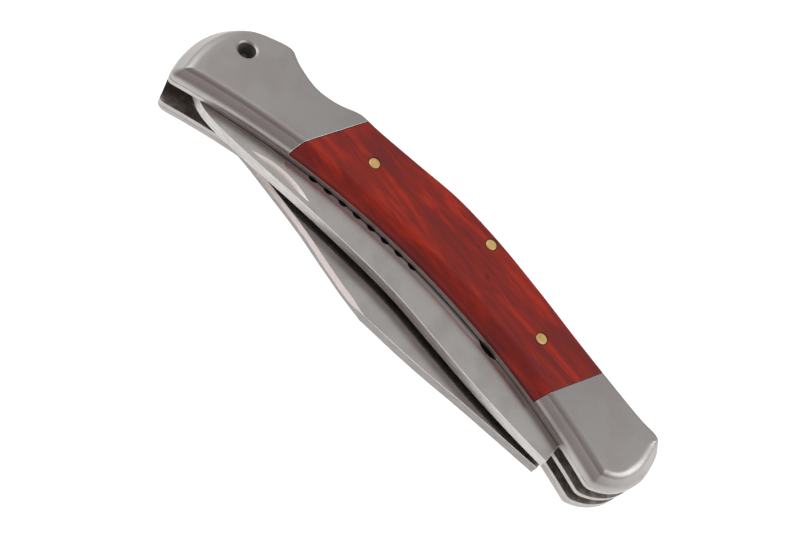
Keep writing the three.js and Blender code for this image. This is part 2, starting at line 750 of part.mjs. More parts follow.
function lockBar(base) {
  const lugRadius = hookRadius + lugClearance;
  const front = -shoulderAhead - lugBackGap;
  const rear = front - lugWidth;
  const lug = arc(lugRadius, Math.acos(front / lugRadius), Math.acos(rear / lugRadius), 5);
  const end = lockBarEndGap - buttFrontBack;
  const scoopStart = scoopHalfLength - scoopBack;
  const edge = (x) => backHeight(x) - lockBarInset;
  const stand = scoopFloorHeight + lockBarStand;
  const under = (x, depth) => [x, edge(x) - depth];
  const underside = smooth([
    under(rear, lockBarDepth), under(rear - lugNeckLength, lockBarDepth + 0.4),
    under(rockerNeckAhead - rockerPinBack, lockBarDepth + 0.8),
    under(rockerBossAhead - rockerPinBack, rockerBossDepth - 0.7),
    under(-rockerPinBack, rockerBossDepth),
    under(-rockerPinBack - rockerBossBehind, rockerBossDepth - 0.7),
    under(-rockerPinBack - rockerNeckBehind, lockBarDepth + 1.2),
    under(-rockerPinBack - springReach, lockBarDepth + 0.3),
    [scoopStart, edge(scoopStart) - lockBarDepth], [end, stand - 3.4],
  ], 4);
  const top = [new THREE.Vector2(end, stand + 0.1)];
  smooth([[end, stand + 0.1], [-scoopBack + 2, stand + 0.4], [scoopStart, edge(scoopStart)]], 5)
    .slice(1).forEach((point) => top.push(new THREE.Vector2(point.x, point.y)));
  const steps = 29;
  for (let i = 1; i <= steps; i += 1) {
    const x = scoopStart + ((front - scoopStart) * i) / steps;
    top.push(new THREE.Vector2(x, edge(x)));
  }
  const points = [
    ...lug.reverse(),
    ...top.reverse(),
    ...underside.reverse().map((point) => new THREE.Vector2(point.x, point.y)),
  ];
  const low = base + bladeSideGap;
  return plate(points, low, low + bladeThickness,
    [rod(rockerPin.x, rockerPin.y, rockerPinRadius + pinClearance, low - 1, low + bladeThickness + 1)]);
}

// Leaf springs: a pad held by the spring pin, and a leaf that bears up under the lock bar
function lockSpring(base) {
  const padEnd = lockBarEndGap - buttFrontBack;
  const padStart = padEnd + springPadLength;
  const padTop = springPin.y + springPadHeight / 2;
  const padBottom = springPin.y - springPadHeight / 2;
  const tip = -rockerPinBack - springReach;
  const tipTop = backHeight(tip) - lockBarInset - lockBarDepth - 0.3 - springContactGap;
  const leaf = tip - padStart;
  const upper = smooth([
    [padStart, padTop - 0.5], [padStart + 0.27 * leaf, padTop - 0.7],
    [padStart + 0.73 * leaf, tipTop - 0.6], [tip, tipTop],
  ], 5);
  const lower = upper.map((point) => new THREE.Vector2(point.x, point.y - springThickness));
  const points = [
    new THREE.Vector2(padEnd, padBottom),
    new THREE.Vector2(padStart - 0.8, padBottom),
    ...lower,
    ...upper.reverse().map((point) => new THREE.Vector2(point.x, point.y)),
    new THREE.Vector2(padStart - 0.8, padTop),
    new THREE.Vector2(padEnd, padTop),
  ];
  const low = base + bladeSideGap;
  return plate(points, low, low + bladeThickness,
    [rod(springPin.x, springPin.y, springPinRadius + pinClearance, low - 1, low + bladeThickness + 1)]);
}

// Butt spacer: fills the pommel between the outer liners and closes its end with a wall
function buttSpacer() {
  const wall = buttWall - pommelReach;
  const far = 2 * pommelReach;
  const hollow = [
    new THREE.Vector2(-buttFrontBack, far),
    new THREE.Vector2(-buttFrontBack, buttCeilingHeight + 1.2),
    new THREE.Vector2(-buttFrontBack - 1.2, buttCeilingHeight),
    new THREE.Vector2(wall + buttCornerDrop * 0.57, buttCeilingHeight - buttCornerDrop * 0.27),
    new THREE.Vector2(wall + buttCornerDrop / 6, buttCeilingHeight - buttCornerDrop * 0.57),
    new THREE.Vector2(wall, buttCeilingHeight - buttCornerDrop),
    new THREE.Vector2(wall, -far),
    new THREE.Vector2(far, -far),
    new THREE.Vector2(far, far),
  ].reverse();
  const low = rearSlotBase;
  const high = frontLinerBase;
  const past = (center, radius) => rod(center.x, center.y, radius, low - 1, high + 1);
  return plate(bodyOutline, low, high, [
    plate(hollow, low - 1, high + 1),
    past(lanyardHole, lanyardHoleRadius),
    past(buttPins[0], buttPinRadius + pinClearance),
    past(buttPins[1], buttPinRadius + pinClearance),
  ]);
}

// Finishes

const satinSteel = { color: 0x96928f, roughness: 0.42, metalness: 0.9 };
const bladeSteel = { color: 0x9c9995, roughness: 0.36, metalness: 0.92 };
const linerSteel = { color: 0x8d8a88, roughness: 0.45, metalness: 0.9 };
const springSteel = { color: 0x77746f, roughness: 0.5, metalness: 0.9 };
const redWood = { color: 0x8f2a22, roughness: 0.38, metalness: 0 };
const brass = { color: 0xc7a86b, roughness: 0.35, metalness: 0.85 };

const stack = new THREE.Group();

function addPiece(name, solid, finish) {
  const { vertProperties, triVerts } = solid.getMesh();
  const geometry = new THREE.BufferGeometry();
  geometry.setAttribute('position', new THREE.BufferAttribute(vertProperties, 3));
  geometry.setIndex(new THREE.BufferAttribute(triVerts, 1));
  geometry.computeVertexNormals();
  const mesh = new THREE.Mesh(geometry, new THREE.MeshStandardMaterial(finish));
  mesh.name = name;
  stack.add(mesh);
}

// Frame
addPiece('front_liner', outerLiner(frontLinerBase), linerSteel);
addPiece('middle_liner', middleLiner(), linerSteel);
addPiece('rear_liner', outerLiner(rearLinerBase), linerSteel);
addPiece('butt_spacer', buttSpacer(), satinSteel);

const frontCover = coverPieces(frontCoverBase, 1);
const rearCover = coverPieces(coverThickness, -1);
Object.entries({ front: frontCover, rear: rearCover }).forEach(([side, cover]) => {
  addPiece(`${side}_pivot_bolster`, cover.nose, satinSteel);
  addPiece(`${side}_wood_scale`, cover.wood, redWood);
  addPiece(`${side}_pommel_bolster`, cover.pommel, satinSteel);
});

// Blades, locks and springs
addPiece('serrated_blade', serratedBlade(), bladeSteel);
addPiece('clip_blade', clipBlade(), bladeSteel);
addPiece('front_lock_bar', lockBar(frontSlotBase), springSteel);
addPiece('rear_lock_bar', lockBar(rearSlotBase), springSteel);
addPiece('front_lock_spring', lockSpring(frontSlotBase), springSteel);
addPiece('rear_lock_spring', lockSpring(rearSlotBase), springSteel);

// Pins through the stack
const hiddenLow = coverThickness - blindPinDepth;
const hiddenHigh = frontCoverBase + blindPinDepth;
addPiece('blade_pivot_pin', rod(0, 0, pivotPinRadius, hiddenLow, hiddenHigh, 40), satinSteel);
addPiece('spring_pin', rod(springPin.x, springPin.y, springPinRadius, hiddenLow, hiddenHigh), satinSteel);
['upper', 'lower'].forEach((which, i) => {
  const { x, y } = buttPins[i];
  addPiece(`butt_pin_${which}`, rod(x, y, buttPinRadius, hiddenLow, hiddenHigh), satinSteel);
});
addPiece('lock_rocker_pin',
  rod(rockerPin.x, rockerPin.y, rockerPinRadius, pinFlushGap, totalThickness - pinFlushGap), brass);
Object.entries(rivets).forEach(([which, { x, y }]) => {
  addPiece(`front_${which}_rivet`,
    rod(x, y, rivetRadius, frontLinerBase, totalThickness - pinFlushGap), brass);
  addPiece(`rear_${which}_rivet`,
    rod(x, y, rivetRadius, pinFlushGap, coverThickness + linerThickness), brass);
});

// The part's own frame: origin under the middle of the closed knife
const knife = new THREE.Group();
const middle = new THREE.Box3().setFromObject(stack).getCenter(new THREE.Vector3());
stack.position.set(-middle.x, -middle.y, 0);
knife.add(stack);

export default knife;
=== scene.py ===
import math

import bmesh
import bpy
import numpy as np
from mathutils import Matrix, Vector


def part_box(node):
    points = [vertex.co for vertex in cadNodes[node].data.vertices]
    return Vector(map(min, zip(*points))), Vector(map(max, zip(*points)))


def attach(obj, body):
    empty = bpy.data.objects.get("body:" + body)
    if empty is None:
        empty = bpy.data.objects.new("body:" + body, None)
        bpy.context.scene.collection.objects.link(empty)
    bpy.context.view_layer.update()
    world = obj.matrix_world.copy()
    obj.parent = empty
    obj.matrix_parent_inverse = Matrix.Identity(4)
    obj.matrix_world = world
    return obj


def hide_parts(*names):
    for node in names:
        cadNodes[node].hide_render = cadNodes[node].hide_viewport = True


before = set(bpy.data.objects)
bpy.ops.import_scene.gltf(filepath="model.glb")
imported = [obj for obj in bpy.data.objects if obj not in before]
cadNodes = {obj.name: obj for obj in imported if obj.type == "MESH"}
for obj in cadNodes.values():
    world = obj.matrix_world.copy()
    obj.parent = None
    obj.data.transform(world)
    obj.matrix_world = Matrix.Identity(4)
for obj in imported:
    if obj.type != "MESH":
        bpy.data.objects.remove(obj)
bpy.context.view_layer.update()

scene = bpy.context.scene
mm = 0.001
print("frame:", len(cadNodes), "nodes")


# Camera, at the place solved from the photograph

photoCamera = {  # mm
    "place": (9.359, -159.955, 227.3),
    "right": (0.7204, 0.5787, 0.382),
    "up": (-0.6923, 0.5681, 0.445),
    "lens": 60.12,
    "sensor": 36,
    "clipStart": 10,
}


def addCamera(settings):
    data = bpy.data.cameras.new("photoCamera")
    data.lens = settings["lens"]
    data.sensor_width = settings["sensor"]
    data.clip_start = settings["clipStart"] * mm
    right = Vector(settings["right"]).normalized()
    back = right.cross(Vector(settings["up"])).normalized()
    turn = Matrix((right, back.cross(right), back)).transposed().to_4x4()
    camera = bpy.data.objects.new("photoCamera", data)
    scene.collection.objects.link(camera)
    camera.matrix_world = Matrix.Translation(Vector(settings["place"]) * mm) @ turn
    scene.camera = camera


addCamera(photoCamera)


# Node trees: sockets that work as numbers, and one method for every other node

class Wire:
    def __init__(self, tree, socket):
        self.tree = tree
        self.socket = socket

    def maths(self, operation, *others):
        values = dict(enumerate((self, *others)))
        return self.tree.add("ShaderNodeMath", {"operation": operation}, values)

    def __add__(self, other):
        return self.maths("ADD", other)

    def __radd__(self, other):
        return self.maths("ADD", other)

    def __sub__(self, other):
        return self.maths("SUBTRACT", other)

    def __rsub__(self, other):
        return self.tree.add("ShaderNodeMath", {"operation": "SUBTRACT"}, {0: other, 1: self})

    def __mul__(self, other):
        return self.maths("MULTIPLY", other)

    def __rmul__(self, other):
        return self.maths("MULTIPLY", other)

    def __truediv__(self, other):
        return self.maths("DIVIDE", other)

    def __pow__(self, other):
        return self.maths("POWER", other)

    def __neg__(self):
        return self.maths("MULTIPLY", -1)

    def clamped(self):
        return self.maths("MAXIMUM", 0).maths("MINIMUM", 1)

    def rise(self, low, high):  # 0 below low, 1 above high, smooth between
        return self.tree.add("ShaderNodeMapRange", {"interpolation_type": "SMOOTHSTEP"},
                             {"Value": self, "From Min": low, "From Max": high})

    def output(self, name):
        return Wire(self.tree, self.socket.node.outputs[name])


class Tree:
    def __init__(self, nodeTree):
        self.nodeTree = nodeTree
        nodeTree.nodes.clear()

    def socketOf(self, sockets, key):
        if isinstance(key, int):
            return sockets[key]
        for socket in sockets:
            if socket.identifier == key:
                return socket
        return sockets[key]

    def add(self, kind, settings=None, sockets=None):
        node = self.nodeTree.nodes.new(kind)
        for name, value in (settings or {}).items():
            if name == "stops":
                self.fillRamp(node.color_ramp, value)
            else:
                setattr(node, name, value)
        for key, value in (sockets or {}).items():
            socket = self.socketOf(node.inputs, key)
            if isinstance(value, Wire):
                self.nodeTree.links.new(value.socket, socket)
            else:
                socket.default_value = value
        shown = [socket for socket in node.outputs if socket.enabled]
        return Wire(self, shown[0]) if shown else node

    def fillRamp(self, ramp, stops):
        while len(ramp.elements) < len(stops):
            ramp.elements.new(0.5)
        for element, (place, colour) in zip(ramp.elements, stops):
            element.position = place
            element.color = (*colour, 1)

    def pattern(self, size, turn, shift):  # object coordinates, one size in mm or three
        at = self.add("ShaderNodeTexCoord").output("Object")
        sizes = size if isinstance(size, tuple) else (size, size, size)
        return self.add("ShaderNodeMapping", {"vector_type": "TEXTURE"}, {
            "Vector": at, "Location": [step * mm for step in shift],
            "Rotation": (0, 0, math.radians(turn)), "Scale": [step * mm for step in sizes]})

    def noise(self, size, detail=2, roughness=0.5, distortion=0, turn=0, shift=(0, 0, 0)):
        return self.add("ShaderNodeTexNoise", None, {
            "Vector": self.pattern(size, turn, shift), "Scale": 1, "Detail": detail,
            "Roughness": roughness, "Distortion": distortion})

    def mix(self, factor, first, second):
        return self.add("ShaderNodeMix", {"data_type": "RGBA"}, {
            "Factor_Float": factor, "A_Color": solid(first), "B_Color": solid(second)})

    def heightOf(self):
        at = self.add("ShaderNodeTexCoord").output("Object")
        return self.add("ShaderNodeSeparateXYZ", None, {0: at}).output("Z")


def solid(colour):
    return colour if isinstance(colour, Wire) else (*colour, 1)


def startFinish(name):
    material = bpy.data.materials.new(name)
    material.use_nodes = True
    return material, Tree(material.node_tree)


def endFinish(tree, sockets, bump=None, depth=0):  # depth of the bumps in mm
    if bump is not None:
        sockets["Normal"] = tree.add("ShaderNodeBump", None, {
            "Height": bump, "Distance": depth * mm, "Strength": 1})
    shader = tree.add("ShaderNodeBsdfPrincipled", None, sockets)
    tree.add("ShaderNodeOutputMaterial", None, {"Surface": shader})


# Finishes, with patterns in mm and their turns in degrees from the handle's length. A pattern
# goes from 0 to 1. An edge gives where its marks begin and where they are full, marks also give
# how strongly they colour, and swings give how far each pattern moves the roughness.

def roughnessOf(look, *patterns):
    level = look["roughness"]
    for pattern, swing in zip(patterns, look["swings"]):
        level = level + (pattern - 0.5) * swing
    return level


def marks(pattern, start, end, share):
    return pattern.rise(start, end) * share


def paintedShadeOf(colour, shareInShade):
    return [value * shareInShade for value in colour]


satinLook = {
    "light": (0.425, 0.41, 0.40),
    "mauve": (0.38, 0.35, 0.345),
    "bright": (0.51, 0.49, 0.48),
    "cloudSize": 9,
    "cloudEdge": (0.42, 0.66),
    "beadSize": 0.16,
    "beadMarks": (0.62, 0.8, 0.25),
    "hairSize": (5, 0.12, 1),
    "hairTurn": 12,
    "hairBump": 0.5,
    "roughness": 0.42,
    "swings": (0.12, 0.05, 0.06),
    "bump": 0.004,
}


def satinSteelFinish(look):
    material, tree = startFinish("satinBolsterSteel")
    cloud = tree.noise(look["cloudSize"], detail=3).rise(*look["cloudEdge"])
    bead = tree.noise(look["beadSize"])
    hair = tree.noise(look["hairSize"], turn=look["hairTurn"])
    colour = tree.mix(cloud, look["light"], look["mauve"])
    colour = tree.mix(marks(bead, *look["beadMarks"]), colour, look["bright"])
    rough = roughnessOf(look, bead, cloud, hair)
    endFinish(tree, {"Base Color": colour, "Metallic": 1.0, "Roughness": rough},
              bead + hair * look["hairBump"], look["bump"])
    return material


bladeLook = {
    "light": (0.68, 0.66, 0.645),
    "dark": (0.60, 0.575, 0.56),
    "cloudSize": 7,
    "cloudEdge": (0.4, 0.68),
    "grainSize": (0.25, 2.5, 1),
    "grainTurn": -6,
    "grainBump": 0.7,
    "fineSize": 0.12,
    "fineBump": 0.3,
    "roughness": 0.25,
    "swings": (0.07, 0.04),
    "bump": 0.0015,
}


def bladeGrain(tree):
    return tree.noise(bladeLook["grainSize"], detail=3, turn=bladeLook["grainTurn"])


def bladeFaceFinish(look):
    material, tree = startFinish("groundBladeFace")
    cloud = tree.noise(look["cloudSize"], detail=3).rise(*look["cloudEdge"])
    grain = bladeGrain(tree)
    fine = tree.noise(look["fineSize"], detail=1)
    colour = tree.mix(cloud, look["light"], look["dark"])
    rough = roughnessOf(look, grain, fine)
    endFinish(tree, {"Base Color": colour, "Metallic": 1.0, "Roughness": rough},
              grain * look["grainBump"] + fine * look["fineBump"], look["bump"])
    return material


grindPaintedReflectionLook = {  # painted reflection beside the flat of the blade, the grind's own colour further down
    "paintedLightBeside": (0.36, 0.25, 0.25),
    "below": (0.60, 0.585, 0.57),
    "fade": (0.17, 0.36),  # mm under the flat
    "scratch": (0.3, 0.29, 0.28),
    "scratchMarks": (0.3, 0.7, 0.12),
    "metallic": 0.25,
    "roughness": 0.36,
    "swings": (0.14,),
    "bump": 0.004,
}
# On the nick the pale colour beside the flat is a painted highlight on its rim.
nickPaintedHighlightLook = {
    **grindPaintedReflectionLook,
    "paintedLightBeside": (0.97, 0.92, 0.86),
    "below": (0.55, 0.515, 0.48),
    "fade": (0.12, 0.5),
    "metallic": 0.3,
}


# The colour just under a flat is painted light: a painted reflection on the grind, a painted
# highlight on the nick.
def sunkFinish(name, look, faces):  # faces are the heights of the blade's flats
    material, tree = startFinish(name)
    height = tree.heightOf()
    grain = bladeGrain(tree)
    middle = (faces[0] + faces[1]) / 2
    depth = (faces[1] - faces[0]) / 2 - (height - middle).maths("ABSOLUTE")
    start, end = look["fade"]
    colour = tree.mix(depth.rise(start * mm, end * mm), look["paintedLightBeside"], look["below"])
    colour = tree.mix(marks(grain, *look["scratchMarks"]), colour, look["scratch"])
    endFinish(tree, {"Base Color": colour, "Metallic": look["metallic"],
                     "Roughness": roughnessOf(look, grain)}, grain, look["bump"])
    return material


# The swedge's near-white, barely metallic colour is a painted highlight.
swedgePaintedHighlightLook = {
    "paintedHighlight": (0.98, 0.91, 0.89),
    "warm": (0.88, 0.80, 0.78),
    "grainSize": (1.8, 0.25, 0.25),
    "grainTurn": 10,
    "grainEdge": (0.35, 0.7),
    "metallic": 0.1,
    "roughness": 0.4,
    "swings": (0.2,),
    "bump": 0.004,
}
# Brighter steel on the pommel's seam corner, a painted highlight.
seamPaintedHighlightLook = {
    **swedgePaintedHighlightLook,
    "paintedHighlight": (0.80, 0.78, 0.76),
    "warm": (0.66, 0.64, 0.63),
    "metallic": 1,
}


def paintedHighlightFinish(name, look):  # painted highlights, on the clip blade's swedge and eased corners and on the pommel's seam corner
    material, tree = startFinish(name)
    grain = tree.noise(look["grainSize"], detail=3, turn=look["grainTurn"])
    colour = tree.mix(grain.rise(*look["grainEdge"]), look["paintedHighlight"], look["warm"])
    endFinish(tree, {"Base Color": colour, "Metallic": look["metallic"],
                     "Roughness": roughnessOf(look, grain)}, grain, look["bump"])
    return material


spineLook = {
    "light": (0.69, 0.675, 0.66),
    "dark": (0.45, 0.435, 0.42),
    "speck": (0.31, 0.295, 0.285),
    "streakSize": (2.6, 0.5, 0.2),
    "streakEdge": (0.35, 0.7),
    "speckSize": 0.3,
    "speckMarks": (0.55, 0.75, 0.35),
    "speckBump": 0.3,
    "roughness": 0.42,
    "swings": (0.25,),
    "bump": 0.01,
}


def brushedSpineFinish(name, look, shareInShade=1):  # the share given darkens every colour, as painted shade
    material, tree = startFinish(name)
    streak = tree.noise(look["streakSize"], detail=4, roughness=0.65)
    speck = tree.noise(look["speckSize"])
    dark, light, spot = (paintedShadeOf(look[tint], shareInShade) for tint in ("dark", "light", "speck"))
    colour = tree.mix(streak.rise(*look["streakEdge"]), dark, light)
    colour = tree.mix(marks(speck, *look["speckMarks"]), colour, spot)
    rough = roughnessOf(look, streak)
    endFinish(tree, {"Base Color": colour, "Metallic": 1.0, "Roughness": rough},
              streak + speck * look["speckBump"], look["bump"])
    return material


linerEdgeLook = {
    "light": (0.56, 0.545, 0.53),
    "dark": (0.40, 0.385, 0.37),
    "stain": (0.40, 0.365, 0.355),
    "streakSize": (4, 0.4, 0.12),
    "streakEdge": (0.3, 0.7),
    "stainSize": 5,
    "stainMarks": (0.4, 0.7, 0.35),
    "roughness": 0.4,
    "swings": (0.2,),
    "bump": 0.006,
}


def linerEdgeFinish(look):
    material, tree = startFinish("linerEdgeSteel")
    streak = tree.noise(look["streakSize"], detail=4, roughness=0.6)
    stain = tree.noise(look["stainSize"])
    colour = tree.mix(streak.rise(*look["streakEdge"]), look["dark"], look["light"])
    colour = tree.mix(marks(stain, *look["stainMarks"]), colour, look["stain"])
    endFinish(tree, {"Base Color": colour, "Metallic": 1.0,
                     "Roughness": roughnessOf(look, streak)}, streak, look["bump"])
    return material


# Darker steel where the slots lie in shade, a painted shade.
slotLook = {
    "dark": (0.20, 0.175, 0.16),
    "light": (0.40, 0.36, 0.34),
    "speck": (0.45, 0.42, 0.40),
    "stainSize": 1.6,
    "stainEdge": (0.35, 0.7),
    "speckSize": 0.3,
    "speckMarks": (0.66, 0.8, 0.4),
    "speckBump": 0.4,
    "metallic": 0.6,
    "roughness": 0.5,
    "swings": (0.3,),
    "bump": 0.02,
}


def slotShadeFinish(look):  # painted shade: darker, duller steel inside the slots
    material, tree = startFinish("slotPaintedShadeSteel")
    stain = tree.noise(look["stainSize"], detail=4, roughness=0.6)
    speck = tree.noise(look["speckSize"])
    colour = tree.mix(stain.rise(*look["stainEdge"]), look["dark"], look["light"])
    colour = tree.mix(marks(speck, *look["speckMarks"]), colour, look["speck"])
    endFinish(tree, {"Base Color": colour, "Metallic": look["metallic"],
                     "Roughness": roughnessOf(look, stain)},
              stain + speck * look["speckBump"], look["bump"])
    return material


springLook = {
    "light": (0.50, 0.485, 0.47),
    "dark": (0.36, 0.345, 0.33),
    "stain": (0.30, 0.26, 0.24),
    "streakSize": (2.5, 0.35, 0.2),
    "streakEdge": (0.3, 0.7),
    "stainSize": 4,
    "stainMarks": (0.45, 0.7, 0.4),
    "roughness": 0.42,
    "swings": (0.2,),
    "bump": 0.006,
}


def springSteelFinish(name, look, shareInShade=1, metallic=1):  # the share darkens the colours as painted shade, as on the spines
    material, tree = startFinish(name)
    streak = tree.noise(look["streakSize"], detail=3)
    stain = tree.noise(look["stainSize"], detail=3)
    light, dark, brown = (paintedShadeOf(look[tint], shareInShade) for tint in ("light", "dark", "stain"))
    colour = tree.mix(streak.rise(*look["streakEdge"]), dark, light)
    colour = tree.mix(marks(stain, *look["stainMarks"]), colour, brown)
    endFinish(tree, {"Base Color": colour, "Metallic": metallic,
                     "Roughness": roughnessOf(look, streak)}, streak, look["bump"])
    return material


brassLook = {
    "light": (0.73, 0.49, 0.20),
    "dark": (0.57, 0.38, 0.135),
    "cloudSize": 1.1,
    "cloudEdge": (0.35, 0.75),
    "hairSize": (1.6, 0.07, 1),
    "hairTurn": 35,
    "metallic": 0.6,
    "roughness": 0.45,
    "swings": (0.2,),
    "bump": 0.003,
}


def brassFinish(look):
    material, tree = startFinish("mattBrass")
    cloud = tree.noise(look["cloudSize"], detail=3)
    hair = tree.noise(look["hairSize"], turn=look["hairTurn"])
    colour = tree.mix(cloud.rise(*look["cloudEdge"]), look["light"], look["dark"])
    endFinish(tree, {"Base Color": colour, "Metallic": look["metallic"],
                     "Roughness": roughnessOf(look, hair)}, hair, look["bump"])
    return material


woodLook = {
    "deep": (0.172, 0.0165, 0.014),
    "red": (0.242, 0.018, 0.0115),
    "orange": (0.38, 0.026, 0.0095),
    "plum": (0.14, 0.020, 0.020),
    "pore": (0.045, 0.011, 0.011),
    "tones": (("plum", 0.34), ("deep", 0.43), ("red", 0.52), ("orange", 0.61), ("red", 0.72)),
    "flameSize": (15, 2.6, 5),
    "flameShare": 0.5,  # of the tone
    "streakSize": (8, 0.9, 3),
    "streakShare": 0.32,
    "patchSize": (20, 8, 9),
    "patchShare": 0.3,
    "toneDrop": 0.06,
    "fibreSize": (3, 0.16, 0.8),
    "fibreMarks": (0.52, 0.74, 0.3),
    "orangeMarks": (0.3, 0.46, 0.22),  # between the fibres, so full up to the first
    "fibreBump": 0.6,
    "poreSize": (1.5, 0.13, 0.5),
    "poreEdge": (0.70, 0.78),
    "poreShare": 0.6,  # of the colour in a pore
    "poreRoughness": 0.2,
    "knotSize": (2.2, 1.1, 2),
    "knotMarks": (0.70, 0.76, 0.6),
    "glueAndShadeReach": (0.088, 0.44),  # mm from a pin, where the dark glue line and the painted shade of its gap fade
    "glueAndShadeShare": 0.75,
    "grainTurn": -7,
    "roughness": 0.38,
    "swings": (0.16,),
    "coat": 0.08,
    "coatRoughness": 0.3,
    "shine": 0.22,
    "bump": 0.015,
}


def pinGlueAndShade(tree, look, pins, pinRadius):  # 1 beside a pin, 0 away from them all: a glue line, with painted shade of the gap
    at = tree.add("ShaderNodeTexCoord").output("Object")
    flat = tree.add("ShaderNodeVectorMath", {"operation": "MULTIPLY"}, {0: at, 1: (1, 1, 0)})
    start, end = (pinRadius + reach * mm for reach in look["glueAndShadeReach"])
    rings = None
    for x, y in pins:
        gap = tree.add("ShaderNodeVectorMath", {"operation": "DISTANCE"}, {0: flat, 1: (x, y, 0)})
        near = 1 - gap.output("Value").rise(start, end)
        rings = near if rings is None else rings.maths("MAXIMUM", near)
    return rings


def woodFinish(look, pins, pinRadius):
    material, tree = startFinish("redLaminatedWood")
    turn = look["grainTurn"]
    flame = tree.noise(look["flameSize"], detail=3, roughness=0.55, distortion=0.8, turn=turn)
    streak = tree.noise(look["streakSize"], detail=4, roughness=0.6, distortion=0.6, turn=turn)
    patch = tree.noise(look["patchSize"], turn=turn, shift=(4, 2, 0))
    fibre = tree.noise(look["fibreSize"], detail=3, roughness=0.6, turn=turn)
    pore = tree.noise(look["poreSize"], detail=1, turn=turn, shift=(3, 1, 0))
    pore = pore.rise(*look["poreEdge"])
    knot = tree.noise(look["knotSize"], turn=turn, shift=(7, 5, 0))
    rings = pinGlueAndShade(tree, look, pins, pinRadius)
    tone = (flame * look["flameShare"] + streak * look["streakShare"]
            + patch * look["patchShare"] - look["toneDrop"])
    stops = [(place, look[name]) for name, place in look["tones"]]
    colour = tree.add("ShaderNodeValToRGB", {"stops": stops}, {"Fac": tone})
    colour = tree.mix(marks(fibre, *look["fibreMarks"]), colour, look["deep"])
    start, end, share = look["orangeMarks"]
    colour = tree.mix((1 - fibre.rise(start, end)) * share, colour, look["orange"])
    for mark in (pore * look["poreShare"], marks(knot, *look["knotMarks"]),
                 rings * look["glueAndShadeShare"]):
        colour = tree.mix(mark, colour, look["pore"])
    rough = roughnessOf(look, fibre) + pore * look["poreRoughness"]
    endFinish(tree, {"Base Color": colour, "Roughness": rough, "Coat Weight": look["coat"],
                     "Coat Roughness": look["coatRoughness"], "Specular IOR Level": look["shine"]},
              fibre * look["fibreBump"] - pore, look["bump"])
    return material


print("finishes ready")


# Shapes: helpers

def sceneObject(name, mesh):
    piece = bpy.data.objects.new(name, mesh)
    scene.collection.objects.link(piece)
    return piece


def settled(piece):  # the modifiers' result as a plain mesh on the same object
    bpy.context.view_layer.update()
    graph = bpy.context.evaluated_depsgraph_get()
    mesh = bpy.data.meshes.new_from_object(piece.evaluated_get(graph), depsgraph=graph)
    piece.modifiers.clear()
    piece.data = mesh
    mesh.name = piece.name
    return piece


leastRise = {"flat": 0.9995, "grind": 0.55, "facet": 0.35}  # of a face's normal, for its kind


def faceKind(face):  # 0 flat side, 1 edge all round, 2 grind, facing the closed handle, 3 facet
    rise = abs(face.normal.z)
    if rise > leastRise["flat"]:
        return 0
    if rise > leastRise["grind"] and face.normal.y > 0:
        return 2
    return 3 if rise > leastRise["facet"] else 1


def easedEdges(work, width, turn=50, segments=2, finish=-1, kinds=None):
    chosen = []
    for edge in work.edges:
        met = {faceKind(face) for face in edge.link_faces}
        if edge.calc_face_angle(0) > math.radians(turn) and (kinds is None or met in kinds):
            chosen.append(edge)
    bmesh.ops.bevel(work, geom=chosen, offset=width * mm, offset_type="OFFSET", segments=segments,
                    profile=0.5, affect="EDGES", clamp_overlap=False, material=finish)


def shadedMesh(work, name, turn=22, flatTurn=8):  # smooth, with creases, sooner beside a flat side
    for face in work.faces:
        face.smooth = True
    for edge in work.edges:
        flats = {faceKind(face) == 0 for face in edge.link_faces}
        edge.smooth = edge.calc_face_angle(0) < math.radians(turn if len(flats) == 1 else flatTurn)
    mesh = bpy.data.meshes.new(name)
    work.to_mesh(mesh)
    work.free()
    return mesh


def easedPiece(piece, width, finishes, cornerFinish, seamHighlightSpan=None):
    work = bmesh.new()
    work.from_mesh(piece.data)
    easedEdges(work, width, finish=cornerFinish)
    if seamHighlightSpan:  # the painted highlight on the corner is left only at the seam's belly end
        place, ahead, length = seamHighlightSpan
        corners = [face for face in work.faces if face.material_index == cornerFinish]
        onSeam = {face for face in corners
                  if abs((face.calc_center_median() - place) @ ahead) < 2 * width * mm}
        lowest = min(face.calc_center_median().y for face in onSeam)
        for face in corners:
            if face not in onSeam or face.calc_center_median().y > lowest + length * mm:
                face.material_index = 0
    piece.data = shadedMesh(work, piece.name)
    for finish in finishes:
        piece.data.materials.append(finish)


def grown(name, mesh, group, identifiers, values):  # what a Geometry Nodes tree makes of a mesh
    piece = sceneObject(name, mesh)
    modifier = piece.modifiers.new(name, "NODES")
    modifier.node_group = group
    for label, value in values.items():
        modifier[identifiers[label]] = value
    return settled(piece)


def carried(piece, body, slot, *replaced):
    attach(piece, body)
    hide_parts(*replaced)


def middleOf(node):
    low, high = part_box(node)
    return (low + high) / 2


def radiusOf(pin):
    low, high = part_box(pin)
    return (high.x - low.x) / 2


# Outline of the handle, from the edge of the front liner

outlineLook = {
    "bellyStep": 2.4,  # mm, only the belly's edges run further than this towards the nose
    "cornerEdges": 4,  # edges that the frame draws round each belly corner
    "spacing": 0.8,  # mm
    "joined": 0.0005,  # mm
    "cornerSteps": 8,
}


def linerRim(node):
    work = bmesh.new()
    work.from_mesh(cadNodes[node].data)
    bmesh.ops.remove_doubles(work, verts=work.verts, dist=outlineLook["joined"] * mm)
    top = {face for face in work.faces if face.normal.z > leastRise["flat"]}
    following = {}
    for face in top:
        for loop in face.loops:
            if sum(other in top for other in loop.edge.link_faces) == 1:
                following[loop.vert.index] = loop.link_loop_next.vert.index
    places = {vert.index: (vert.co.x, vert.co.y) for vert in work.verts}
    chains = []
    while following:
        start, at = following.popitem()
        chain = [start]
        while at != start:
            chain.append(at)
            at = following.pop(at)
        chains.append(chain)
    work.free()
    return np.array([places[index] for index in max(chains, key=len)])


def unit(vector):
    return vector / np.hypot(*vector)


